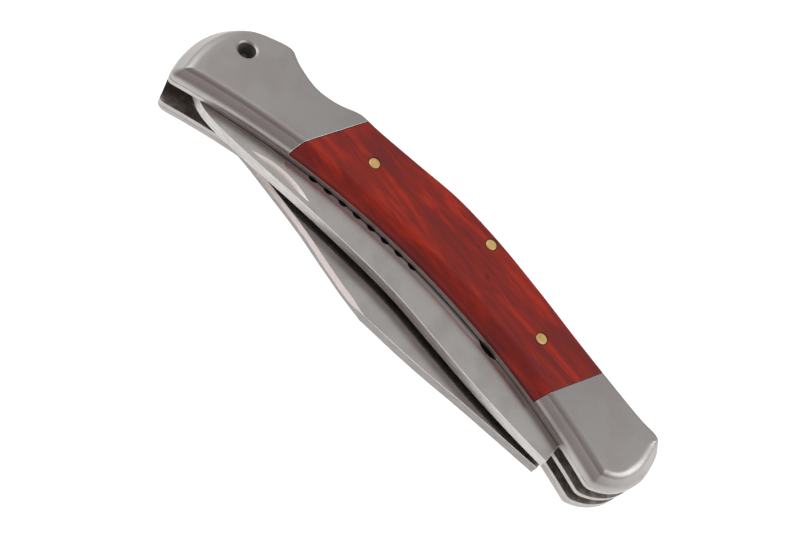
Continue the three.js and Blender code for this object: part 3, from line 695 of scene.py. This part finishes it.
def crossing(a, b, c, d):  # where the lines ab and cd meet
    u, v = b - a, d - c
    share = ((c - a)[0] * v[1] - (c - a)[1] * v[0]) / (u[0] * v[1] - u[1] * v[0])
    return a + u * share


def smoothRun(points, spacing):  # a denser run through the same points
    padded = np.vstack([2 * points[0] - points[1], points, 2 * points[-1] - points[-2]])
    run = []
    for before, start, end, after in zip(padded, padded[1:], padded[2:], padded[3:]):
        steps = max(1, round(np.hypot(*(end - start)) / spacing))
        for t in np.arange(steps) / steps:
            run.append(0.5 * (2 * start + (end - before) * t
                              + (2 * before - 5 * start + 4 * end - after) * t ** 2
                              + (3 * start - before - 3 * end + after) * t ** 3))
    return np.array(run + [points[-1]])


def splitOutline(look):  # belly run, nose corner, run round the back, pommel corner
    rim = linerRim("front_liner")
    steps = np.roll(rim, -1, 0) - rim
    onBelly = steps[:, 0] > look["bellyStep"] * mm
    start = int(np.flatnonzero(onBelly & ~np.roll(onBelly, 1))[0])
    rim = np.roll(rim, -start, 0)
    bellyCount = int(onBelly.sum()) + 1
    corner = look["cornerEdges"]
    belly = rim[:bellyCount]
    back = rim[bellyCount - 1 + corner:len(rim) + 1 - corner]
    noseApex = crossing(belly[-3], belly[-2], back[1], back[0])
    pommelApex = crossing(belly[2], belly[1], back[-2], back[-1])
    return belly, noseApex, back, pommelApex


coverLook = {  # mm, apart from the share, the factors, the powers and the counts
    "wall": 1.2,  # upright foot, over the liner
    "edgeSoftness": 0.75,
    "bevelTop": 3.05,
    "bevelShare": 0.78,  # of the bevel that is straight, before it rounds
    "sideBevel": 1.1,
    "bellyFactor": 1.6,
    "endFactor": 2.1,
    "endPower": 4,  # keeps the wider bevel to the ends
    "rounding": 0.75,
    "roundPower": 1.68,
    "rimInset": 0.2,  # flat ring that keeps the top plain
    "leastCorner": 0.2,
    "cornerReach": 9,  # over which the outline slides back beside a mitred corner
    "edgeRings": 7,
    "roundRings": 12,
}


def bevelFactor(inward, look):
    belly = max(inward[1], 0) * (look["bellyFactor"] - 1)
    return 1 + belly + (look["endFactor"] - 1) * inward[0] ** look["endPower"]


def mitre(inwardA, inwardB, distanceA, distanceB):
    turn = inwardA[0] * inwardB[1] - inwardA[1] * inwardB[0]
    return np.array([distanceA * inwardB[1] - distanceB * inwardA[1],
                     inwardA[0] * distanceB - inwardB[0] * distanceA]) / turn


def coverOutline(look, outline):  # each point with the way it leans in, per mm of the back's bevel
    belly, noseApex, back, pommelApex = splitOutline(outline)
    spacing = outline["spacing"] * mm
    points = []

    def inwardOf(along):
        return unit(np.array([-along[1], along[0]]))

    def cornerLean(apex, last, first):
        inwards = [inwardOf(apex - last), inwardOf(first - apex)]
        return mitre(*inwards, *(bevelFactor(inward, look) for inward in inwards))

    nose = (noseApex, belly[-1], back[0])
    pommel = (pommelApex, back[-1], belly[0])
    corners = [(corner[0], cornerLean(*corner)) for corner in (nose, pommel)]

    def addRun(run):
        for i, place in enumerate(run):
            along = unit(run[min(i + 1, len(run) - 1)] - run[max(i - 1, 0)])
            inward = inwardOf(along)
            lean = inward * bevelFactor(inward, look)
            for apex, corner in corners:
                near = max(0, 1 - np.hypot(*(place - apex)) / (look["cornerReach"] * mm))
                lean = lean + along * (corner @ along) * near
            points.append((place, lean, np.zeros(2), 0))

    def addCorner(apex, last, first):
        lean = cornerLean(apex, last, first)
        radius = np.hypot(*(first - apex))
        for i in range(outline["cornerSteps"] + 1):
            t = i / outline["cornerSteps"]
            swing = unit(last - apex) * (1 - t) ** 2 + unit(first - apex) * t ** 2
            points.append((apex, lean, swing, radius))

    addRun(smoothRun(belly[1:-1], spacing))
    addCorner(*nose)
    addRun(smoothRun(back[1:-1], spacing))
    addCorner(*pommel)
    mesh = bpy.data.meshes.new("coverOutline")
    mesh.from_pydata([(*point[0], 0) for point in points], [], [])
    for name, column in (("lean", 1), ("swing", 2)):
        values = np.array([(*point[column], 0) for point in points], np.float32)
        attribute = mesh.attributes.new(name, "FLOAT_VECTOR", "POINT")
        attribute.data.foreach_set("vector", values.ravel())
    attribute = mesh.attributes.new("cornerRadius", "FLOAT", "POINT")
    attribute.data.foreach_set("value", [point[3] for point in points])
    return mesh


# Covers: one crowned shell lofted from the outline, then cut along the seams

def newGroup(name, inputs):
    group = bpy.data.node_groups.new(name, "GeometryNodeTree")
    group.interface.new_socket("Geometry", in_out="OUTPUT", socket_type="NodeSocketGeometry")
    identifiers = {}
    for label, kind in inputs.items():
        socket = group.interface.new_socket(label, in_out="INPUT", socket_type="NodeSocket" + kind)
        identifiers[label] = socket.identifier
    return group, identifiers


def coverGroup(look):
    sizes = ["Base", "Side", "Thickness", "Wall", "Edge Softness", "Bevel Top", "Bevel Share",
             "Side Bevel", "Rounding", "Rim Inset", "Least Corner"]
    group, identifiers = newGroup("crownedCover", {
        "Geometry": "Geometry", **{size: "Float" for size in sizes},
        "Edge Rings": "Int", "Round Rings": "Int", "Finish": "Material"})
    tree = Tree(group)
    outline = tree.add("NodeGroupInput")
    base, side, thickness, wall, soft, bevelTop, share, bevel, rounding, inset, least = (
        outline.output(size) for size in sizes)
    edgeRings, roundRings = outline.output("Edge Rings"), outline.output("Round Rings")
    count = tree.add("GeometryNodeAttributeDomainSize", {"component": "MESH"},
                     {"Geometry": outline})
    rings = edgeRings + roundRings + 3  # one step each for the wall, the bevel and the rim
    tube = tree.add("GeometryNodeMeshCylinder", {"fill_type": "NGON"},
                    {"Vertices": count, "Side Segments": rings})
    index = tree.add("GeometryNodeInputIndex")
    ring = ((index + 0.5) / count).maths("FLOOR")
    around = index - ring * count

    def sampled(name, kind="FLOAT_VECTOR"):
        if name == "position":
            column = tree.add("GeometryNodeInputPosition")
        else:
            column = tree.add("GeometryNodeInputNamedAttribute", {"data_type": kind},
                              {"Name": name})
        return tree.add("GeometryNodeSampleIndex", {"data_type": kind, "domain": "POINT"},
                        {"Geometry": outline, "Value": column, "Index": around})

    def vector(operation, first, second):
        key = "Scale" if operation == "SCALE" else 1
        return tree.add("ShaderNodeVectorMath", {"operation": operation}, {0: first, key: second})

    # Each stretch of rings goes from 0 at its start to 1 at its end and beyond
    onWall = ring.clamped()
    onEdge = ((ring - 1) / edgeRings).clamped()
    onBevel = (ring - 1 - edgeRings).clamped()
    onRound = ((ring - 2 - edgeRings) / roundRings).clamped()
    onRim = (ring - 2 - edgeRings - roundRings).clamped()
    slope = bevel * share / (bevelTop - wall)
    quarter = onRound * (math.pi / 2)
    lean = (onEdge * onEdge * slope * soft
            + onBevel * (bevel * share - slope * soft)
            + (1 - (1 - onRound) ** look["roundPower"]) * bevel * (1 - share)
            + (1 - quarter.maths("COSINE")) * rounding + onRim * inset)
    height = (onWall * (wall - soft)
              + (1 - (1 - onEdge) ** 2) * soft + onEdge * onEdge * soft
              + onBevel * (bevelTop - wall - soft)
              + quarter.maths("SINE") * (thickness - bevelTop))
    radius = (sampled("cornerRadius", "FLOAT") - lean).maths("MAXIMUM", least)
    place = vector("ADD", sampled("position"), vector("SCALE", sampled("lean"), lean))
    place = vector("ADD", place, vector("SCALE", sampled("swing"), radius))
    lift = tree.add("ShaderNodeCombineXYZ", None, {"Z": base + side * height})
    moved = tree.add("GeometryNodeSetPosition", None,
                     {"Geometry": tube, "Position": vector("ADD", place, lift)})
    real = tree.add("GeometryNodeRealizeInstances", None, {"Geometry": moved})
    dressed = tree.add("GeometryNodeSetMaterial", None,
                       {"Geometry": real, "Material": outline.output("Finish")})
    tree.add("NodeGroupOutput", None, {"Geometry": dressed})
    return group, identifiers


def crownedCover(name, base, side, look, finish, parts):
    outline, group, identifiers = parts
    low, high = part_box("front_pivot_bolster")
    cover = grown(name, outline.copy(), group, identifiers, {
        "Base": base, "Side": side, "Thickness": high.z - low.z, "Wall": look["wall"] * mm,
        "Edge Softness": look["edgeSoftness"] * mm, "Bevel Top": look["bevelTop"] * mm,
        "Bevel Share": look["bevelShare"], "Side Bevel": look["sideBevel"] * mm,
        "Rounding": look["rounding"] * mm, "Rim Inset": look["rimInset"] * mm,
        "Least Corner": look["leastCorner"] * mm, "Edge Rings": look["edgeRings"],
        "Round Rings": look["roundRings"], "Finish": finish,
    })
    work = bmesh.new()
    work.from_mesh(cover.data)
    bmesh.ops.recalc_face_normals(work, faces=work.faces)
    for face in work.faces:
        face.material_index = 0
    work.to_mesh(cover.data)
    volume = round(work.calc_volume() / mm ** 3)
    print(name, len(cover.data.vertices), "vertices, volume mm3", volume)
    work.free()
    cover.data.materials.clear()
    cover.data.materials.append(finish)
    return cover


seamLook = {  # mm, and degrees for the angles
    "frontBack": 6.4,  # behind the pivot, at its height
    "frontAngle": 66,
    "rearBack": 76.4,
    "rearAngle": 71,
    "gap": 0.12,
    "steelCorner": 0.06,
    "pommelCorner": 0.14,
    "woodCorner": 0.1,
    "highlightLength": 5,  # of the painted highlight on the pommel's seam edge, from the belly end
    "onCut": 0.0001,  # a corner that is nearer to a cut counts as on it
}


def seamPlane(which, look):
    angle = math.radians(look[which + "Angle"])
    along = Vector((math.cos(angle), math.sin(angle), 0))
    ahead = Vector((along.y, -along.x, 0))
    place = middleOf("blade_pivot_pin") - Vector((look[which + "Back"] * mm, 0, 0))
    return place, ahead


def cutOff(mesh, place, direction):  # keeps what lies along direction from place
    work = bmesh.new()
    work.from_mesh(mesh)
    everything = work.verts[:] + work.edges[:] + work.faces[:]
    cut = bmesh.ops.bisect_plane(work, geom=everything, dist=seamLook["onCut"] * mm,
                                 plane_co=place, plane_no=direction, clear_inner=True)
    rim = [item for item in cut["geom_cut"] if isinstance(item, bmesh.types.BMEdge)]
    bmesh.ops.contextual_create(work, geom=rim)
    bmesh.ops.recalc_face_normals(work, faces=work.faces)
    result = mesh.copy()
    work.to_mesh(result)
    work.free()
    return result


def cutter(profile, place, sides=48, darkRings=0):  # a turned tool: (radius, height) pairs in mm
    work = bmesh.new()
    rings = []
    for radius, height in profile:
        rings.append([work.verts.new((
            place[0] + radius * mm * math.cos(2 * math.pi * i / sides),
            place[1] + radius * mm * math.sin(2 * math.pi * i / sides),
            height * mm)) for i in range(sides)])
    for step, (low, high) in enumerate(zip(rings, rings[1:])):
        for i in range(sides):
            face = work.faces.new((low[i], low[i - sides + 1], high[i - sides + 1], high[i]))
            face.material_index = 1 if step < darkRings else 0
    work.faces.new(rings[0])
    work.faces.new(rings[-1])
    bmesh.ops.recalc_face_normals(work, faces=work.faces)
    mesh = bpy.data.meshes.new("cutter")
    work.to_mesh(mesh)
    work.free()
    return sceneObject("cutter", mesh)


def drilled(piece, tools):
    for tool in tools:
        modifier = piece.modifiers.new("hole", "BOOLEAN")
        modifier.operation = "DIFFERENCE"
        modifier.solver = "EXACT"
        modifier.object = tool
    settled(piece)
    for tool in tools:
        bpy.data.objects.remove(tool)
    return piece


def splitAtSeams(whole, look):  # pivot bolster, wood scale and pommel bolster
    half = look["gap"] / 2 * mm
    front, frontAhead = seamPlane("front", look)
    rear, rearAhead = seamPlane("rear", look)
    middle = cutOff(whole, front - frontAhead * half, -frontAhead)
    return (cutOff(whole, front + frontAhead * half, frontAhead),
            cutOff(middle, rear + rearAhead * half, rearAhead),
            cutOff(whole, rear - rearAhead * half, -rearAhead))


lanyardLook = {  # mm
    "radius": 1.85,
    "fromEnd": 8.3,
    "abovePivot": 6.65,
    "mouth": ((0, 0.48), (0.096, 0.192), (0.32, 0.12), (0.64, -0.3)),  # outwards, under the face
}
boreLook = {"pinGap": 0.05, "past": 1, "sides": 32}  # the first two in mm
woodPins = ["front_tail_rivet", "lock_rocker_pin", "front_head_rivet"]


def lanyardCutter(inner, outer, side):
    radius = lanyardLook["radius"]
    place = (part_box("front_pommel_bolster")[0].x + lanyardLook["fromEnd"] * mm,
             middleOf("blade_pivot_pin").y + lanyardLook["abovePivot"] * mm)
    profile = [(radius, inner - side * boreLook["past"])]
    for out, under in lanyardLook["mouth"]:
        profile.append((radius + out, outer - side * under))
    # The bore's wall takes the second finish, the painted shade.
    return cutter(profile, place, darkRings=1)


def pinCutters(inner, outer, side):
    radius = radiusOf("front_tail_rivet") / mm + boreLook["pinGap"]
    past = side * boreLook["past"]
    profile = [(radius, inner - past), (radius, outer + past)]
    return [cutter(profile, middleOf(node), boreLook["sides"]) for node in woodPins]


def makeCovers(satin, wood, paintedSeamHighlight, boredPaintedShade):
    outline = coverOutline(coverLook, outlineLook)
    group, identifiers = coverGroup(coverLook)
    seamHighlightSpan = (*seamPlane("rear", seamLook), seamLook["highlightLength"])
    for label, side in (("front", 1), ("rear", -1)):
        low, high = (corner.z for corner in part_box(label + "_pivot_bolster"))
        base, face = (low, high) if side > 0 else (high, low)
        reach = (base / mm, face / mm, side)
        cover = crownedCover(label + "Cover", base, side, coverLook, satin,
                             (outline, group, identifiers))
        nose, middle, pommel = splitAtSeams(cover.data, seamLook)
        bpy.data.objects.remove(cover)
        bolster = sceneObject(label + "PivotBolster", nose)
        scale = drilled(sceneObject(label + "WoodScale", middle), pinCutters(*reach))
        butt = drilled(sceneObject(label + "PommelBolster", pommel), [lanyardCutter(*reach)])
        scale.data.materials.clear()
        easedPiece(bolster, seamLook["steelCorner"], (satin,), 0)
        easedPiece(scale, seamLook["woodCorner"], (wood,), 0)
        easedPiece(butt, seamLook["pommelCorner"], (satin, boredPaintedShade, paintedSeamHighlight), 2, seamHighlightSpan)
        carried(bolster, "handle", "satin_steel", label + "_pivot_bolster")
        carried(scale, "handle", "red_wood", label + "_wood_scale")
        carried(butt, "handle", "satin_steel", label + "_pommel_bolster")
        print(label, "covers made")


# Brass pins, set on points by a small tree

pinLook = {  # mm, and degrees for the crease
    "sides": 40,
    "rings": 9,
    "rim": 0.08,  # rounded in two steps
    "rimSteps": (0.7, 0.3),  # outwards, and downwards in the other order
    "dome": 0.05,
    "domeOut": (0.4, 0.3, 0.3),  # steps of the dome, as shares of its radius and height
    "domeDown": (0.35, 0.65),
    "crease": 50,
}
brassNodes = ["lock_rocker_pin", "front_tail_rivet", "rear_tail_rivet", "front_head_rivet",
              "rear_head_rivet"]


def pinGroup(rings):
    group, identifiers = newGroup("brassPins", {
        "Geometry": "Geometry", "Radius": "Float", "Rim": "Float", "Dome": "Float",
        "Sides": "Int", "Finish": "Material"})
    tree = Tree(group)
    given = tree.add("NodeGroupInput")
    radius, rim, dome, sides = (given.output(name) for name in ("Radius", "Rim", "Dome", "Sides"))
    tube = tree.add("GeometryNodeMeshCylinder", {"fill_type": "NGON"}, {
        "Vertices": sides, "Side Segments": rings, "Radius": 1.0, "Depth": 1.0})
    ring = ((tree.add("GeometryNodeInputIndex") + 0.5) / sides).maths("FLOOR")
    parts = tree.add("ShaderNodeSeparateXYZ", None, {0: tree.add("GeometryNodeInputPosition")})
    fromEnd = ring.maths("MINIMUM", rings - ring)  # 0 on the faces, 4 in the middle
    first, second, third, fourth = ((fromEnd - i).clamped() for i in range(4))
    start, out, outAgain = pinLook["domeOut"]
    down, downAgain = pinLook["domeDown"]
    long, short = pinLook["rimSteps"]
    wide = ((radius - rim) * (start + out * first + outAgain * second)
            + rim * (long * third + short * fourth))
    drop = (dome * (down * first + downAgain * second)
            + rim * (short * third + long * fourth))
    end = (ring - rings / 2).rise(-0.1, 0.1) * -2 + 1  # 1 at one end, -1 at the other
    placed = tree.add("ShaderNodeCombineXYZ", None, {
        "X": parts.output("X") * wide, "Y": parts.output("Y") * wide, "Z": -end * drop})
    shaped = tree.add("GeometryNodeSetPosition", None, {"Geometry": tube, "Position": placed})
    marked = tree.add("GeometryNodeStoreNamedAttribute", {"data_type": "FLOAT"},
                      {"Geometry": shaped, "Name": "end", "Value": end})
    points = tree.add("GeometryNodeMeshToPoints", None, {"Mesh": given})
    pins = tree.add("GeometryNodeInstanceOnPoints", None, {"Points": points, "Instance": marked})
    real = tree.add("GeometryNodeRealizeInstances", None, {"Geometry": pins})
    span, way = (tree.add("GeometryNodeInputNamedAttribute", {"data_type": "FLOAT"}, {"Name": name})
                 for name in ("span", "end"))
    lift = tree.add("ShaderNodeCombineXYZ", None, {"Z": span * way * 0.5})
    stretched = tree.add("GeometryNodeSetPosition", None, {"Geometry": real, "Offset": lift})
    dressed = tree.add("GeometryNodeSetMaterial", None,
                       {"Geometry": stretched, "Material": given.output("Finish")})
    tree.add("NodeGroupOutput", None, {"Geometry": dressed})
    return group, identifiers


def makePins(finish):
    mesh = bpy.data.meshes.new("brassPins")
    boxes = [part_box(node) for node in brassNodes]
    mesh.from_pydata([tuple((low + high) / 2) for low, high in boxes], [], [])
    spans = mesh.attributes.new("span", "FLOAT", "POINT")
    spans.data.foreach_set("value", [high.z - low.z for low, high in boxes])
    group, identifiers = pinGroup(pinLook["rings"])
    piece = grown("brassPins", mesh, group, identifiers, {
        "Radius": radiusOf("front_tail_rivet"), "Rim": pinLook["rim"] * mm,
        "Dome": pinLook["dome"] * mm, "Sides": pinLook["sides"], "Finish": finish})
    piece.data.shade_smooth()
    piece.data.set_sharp_from_angle(angle=math.radians(pinLook["crease"]))
    carried(piece, "handle", "brass", *brassNodes)


# Blades, liners and lock parts: the frame's own shapes with their edges eased

steelLook = {"joined": 0.004, "corner": 0.09, "creaseTurn": 4}  # mm and degrees


def steelPiece(name, node, body, slot, finishes, cornerFinish=-1):  # finishes by kind of face
    work = bmesh.new()
    work.from_mesh(cadNodes[node].data)
    bmesh.ops.remove_doubles(work, verts=work.verts, dist=steelLook["joined"] * mm)
    for face in work.faces:
        kind = faceKind(face)
        face.material_index = kind if kind < len(finishes) else 0
    easedEdges(work, steelLook["corner"], finish=cornerFinish, kinds=({0, 1}, {1, 3}))
    low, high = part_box(node)
    for vert in work.verts:
        vert.co = [min(max(value, least), most) for value, least, most in zip(vert.co, low, high)]
    piece = sceneObject(name, shadedMesh(work, name, flatTurn=steelLook["creaseTurn"]))
    for finish in finishes:
        piece.data.materials.append(finish)
    carried(piece, body, slot, node)


satin = satinSteelFinish(satinLook)
wood = woodFinish(woodLook, [tuple(middleOf(node))[:2] for node in woodPins],
                  radiusOf("front_tail_rivet"))
paintedSeamHighlight = paintedHighlightFinish("seamEdgePaintedHighlight", seamPaintedHighlightLook)
# Half as bright, a painted shade inside the lanyard hole's bore.
boredPaintedShade = springSteelFinish("boredSteelPaintedShade", springLook, shareInShade=0.5, metallic=0.4)
makeCovers(satin, wood, paintedSeamHighlight, boredPaintedShade)
makePins(brassFinish(brassLook))
print("pins made")

bladeFace = bladeFaceFinish(bladeLook)
spine = brushedSpineFinish("brushedSpine", spineLook)
# Darkened to 0.55, a painted shade on the clip blade's spine under the serrated blade.
clipSpinePaintedShade = brushedSpineFinish("brushedClipSpinePaintedShade", spineLook, shareInShade=0.55)
linerEdge = linerEdgeFinish(linerEdgeLook)
slotShade = slotShadeFinish(slotLook)
springSteel = springSteelFinish("springSteel", springLook)
paintedSwedgeHighlight = paintedHighlightFinish("swedgePaintedHighlight", swedgePaintedHighlightLook)
faces = [corner.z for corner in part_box("serrated_blade")]
# The mauve band beside the grind's flat is a painted reflection.
grind = sunkFinish("hollowGrindPaintedReflection", grindPaintedReflectionLook, faces)
# The nick's pale rim is a painted highlight.
nick = sunkFinish("nickPaintedHighlight", nickPaintedHighlightLook, faces)
# Index 3 is the nick's finish here and the swedge's on the clip blade. It also goes on the eased
# corners, so a painted highlight runs along the edges between face and spine.
steelPiece("serratedBlade", "serrated_blade", "front_blade", "blade_steel",
           (bladeFace, spine, grind, nick), cornerFinish=3)
steelPiece("clipBlade", "clip_blade", "rear_blade", "blade_steel",
           (bladeFace, clipSpinePaintedShade, bladeFace, paintedSwedgeHighlight), cornerFinish=3)
# The liners' flat faces, seen only inside the slots, take the painted shade.
for label in ("front", "middle", "rear"):
    steelPiece(label + "Liner", label + "_liner", "handle", "liner_steel", (slotShade, linerEdge))
steelPiece("buttSpacer", "butt_spacer", "handle", "liner_steel", (slotShade, linerEdge))
for label in ("front", "rear"):
    steelPiece(label + "LockBar", label + "_lock_bar", label + "_lock", "spring_steel",
               (springSteel, spine))
    steelPiece(label + "LockSpring", label + "_lock_spring", "handle", "spring_steel",
               (springSteel,))
for node in ("blade_pivot_pin", "spring_pin", "butt_pin_upper", "butt_pin_lower"):
    cadNodes[node].material_slots[0].material = springSteel
print("steel pieces made")


# Floor, lights and surroundings

floorLook = {
    "tints": ((0.34, 0.34, 0.34), (0.36, 0.36, 0.36)),
    "cloudSize": 300,  # mm
    "roughness": 0.9,
    "shine": 0.1,
    "glow": 0.95,  # its own light, which leaves no shadow
    "reach": 2.5,  # metres from the middle
}


def makeFloor(look):
    material, tree = startFinish("paleFloor")
    colour = tree.mix(tree.noise(look["cloudSize"], detail=1), *look["tints"])
    endFinish(tree, {"Base Color": colour, "Roughness": look["roughness"],
                     "Specular IOR Level": look["shine"], "Emission Color": (1, 1, 1, 1),
                     "Emission Strength": look["glow"]})
    mesh = bpy.data.meshes.new("floor")
    work = bmesh.new()
    bmesh.ops.create_grid(work, x_segments=8, y_segments=8, size=look["reach"])
    work.to_mesh(mesh)
    work.free()
    mesh.materials.append(material)
    sceneObject("floor", mesh)


softboxes = {  # degrees from the nose and over the floor, strength of the light
    "noseSoftbox": {"azimuth": 20, "elevation": 44, "radiance": 2.7},
    "pommelSoftbox": {"azimuth": 172, "elevation": 52, "radiance": 2.6},
}
softboxSide = 0.5  # metres, square
softboxDistance = 0.8


def addSoftbox(name, look):
    data = bpy.data.lights.new(name, "AREA")
    data.shape = "SQUARE"
    data.size = softboxSide
    data.energy = look["radiance"] * math.pi * softboxSide ** 2
    lamp = bpy.data.objects.new(name, data)
    scene.collection.objects.link(lamp)
    azimuth, elevation = math.radians(look["azimuth"]), math.radians(look["elevation"])
    way = Vector((math.cos(azimuth) * math.cos(elevation), math.sin(azimuth) * math.cos(elevation),
                  math.sin(elevation)))
    lamp.location = way * softboxDistance
    lamp.rotation_euler = way.to_track_quat("Z", "Y").to_euler()


surroundings = {
    "sides": 0.72,  # strength towards the nose and the pommel
    "middle": 0.47,  # and across the knife, where its flat faces mirror the studio
    "middleWidth": (0.20, 0.62),
    "middleShift": 0.08,
    "tint": (1.0, 0.985, 0.965),
    "shade": (0.56, 0.46, 0.46),  # left of it towards the camera
    "towardsCamera": (0.04, -0.70, 0.71),
    "shadeFade": (0.4, 0.8),
}


def makeWorld(look):
    world = bpy.data.worlds.new("studio")
    scene.world = world
    world.use_nodes = True
    tree = Tree(world.node_tree)
    way = tree.add("ShaderNodeTexCoord").output("Generated")
    across = tree.add("ShaderNodeSeparateXYZ", None, {0: way}).output("X")
    across = (across - look["middleShift"]).maths("ABSOLUTE")
    strength = look["middle"] + across.rise(*look["middleWidth"]) * (look["sides"] - look["middle"])
    facing = tree.add("ShaderNodeVectorMath", {"operation": "DOT_PRODUCT"},
                      {0: way, 1: look["towardsCamera"]}).output("Value")
    shade = [tint * shareInShade for tint, shareInShade in zip(look["tint"], look["shade"])]
    colour = tree.mix(facing.rise(*look["shadeFade"]), look["tint"], shade)
    background = tree.add("ShaderNodeBackground", None, {"Color": colour, "Strength": strength})
    tree.add("ShaderNodeOutputWorld", None, {"Surface": background})


makeFloor(floorLook)
makeWorld(surroundings)
for name, look in softboxes.items():
    addSoftbox(name, look)
scene.view_settings.view_transform = "Standard"
scene.view_settings.look = "None"
print("stage ready")
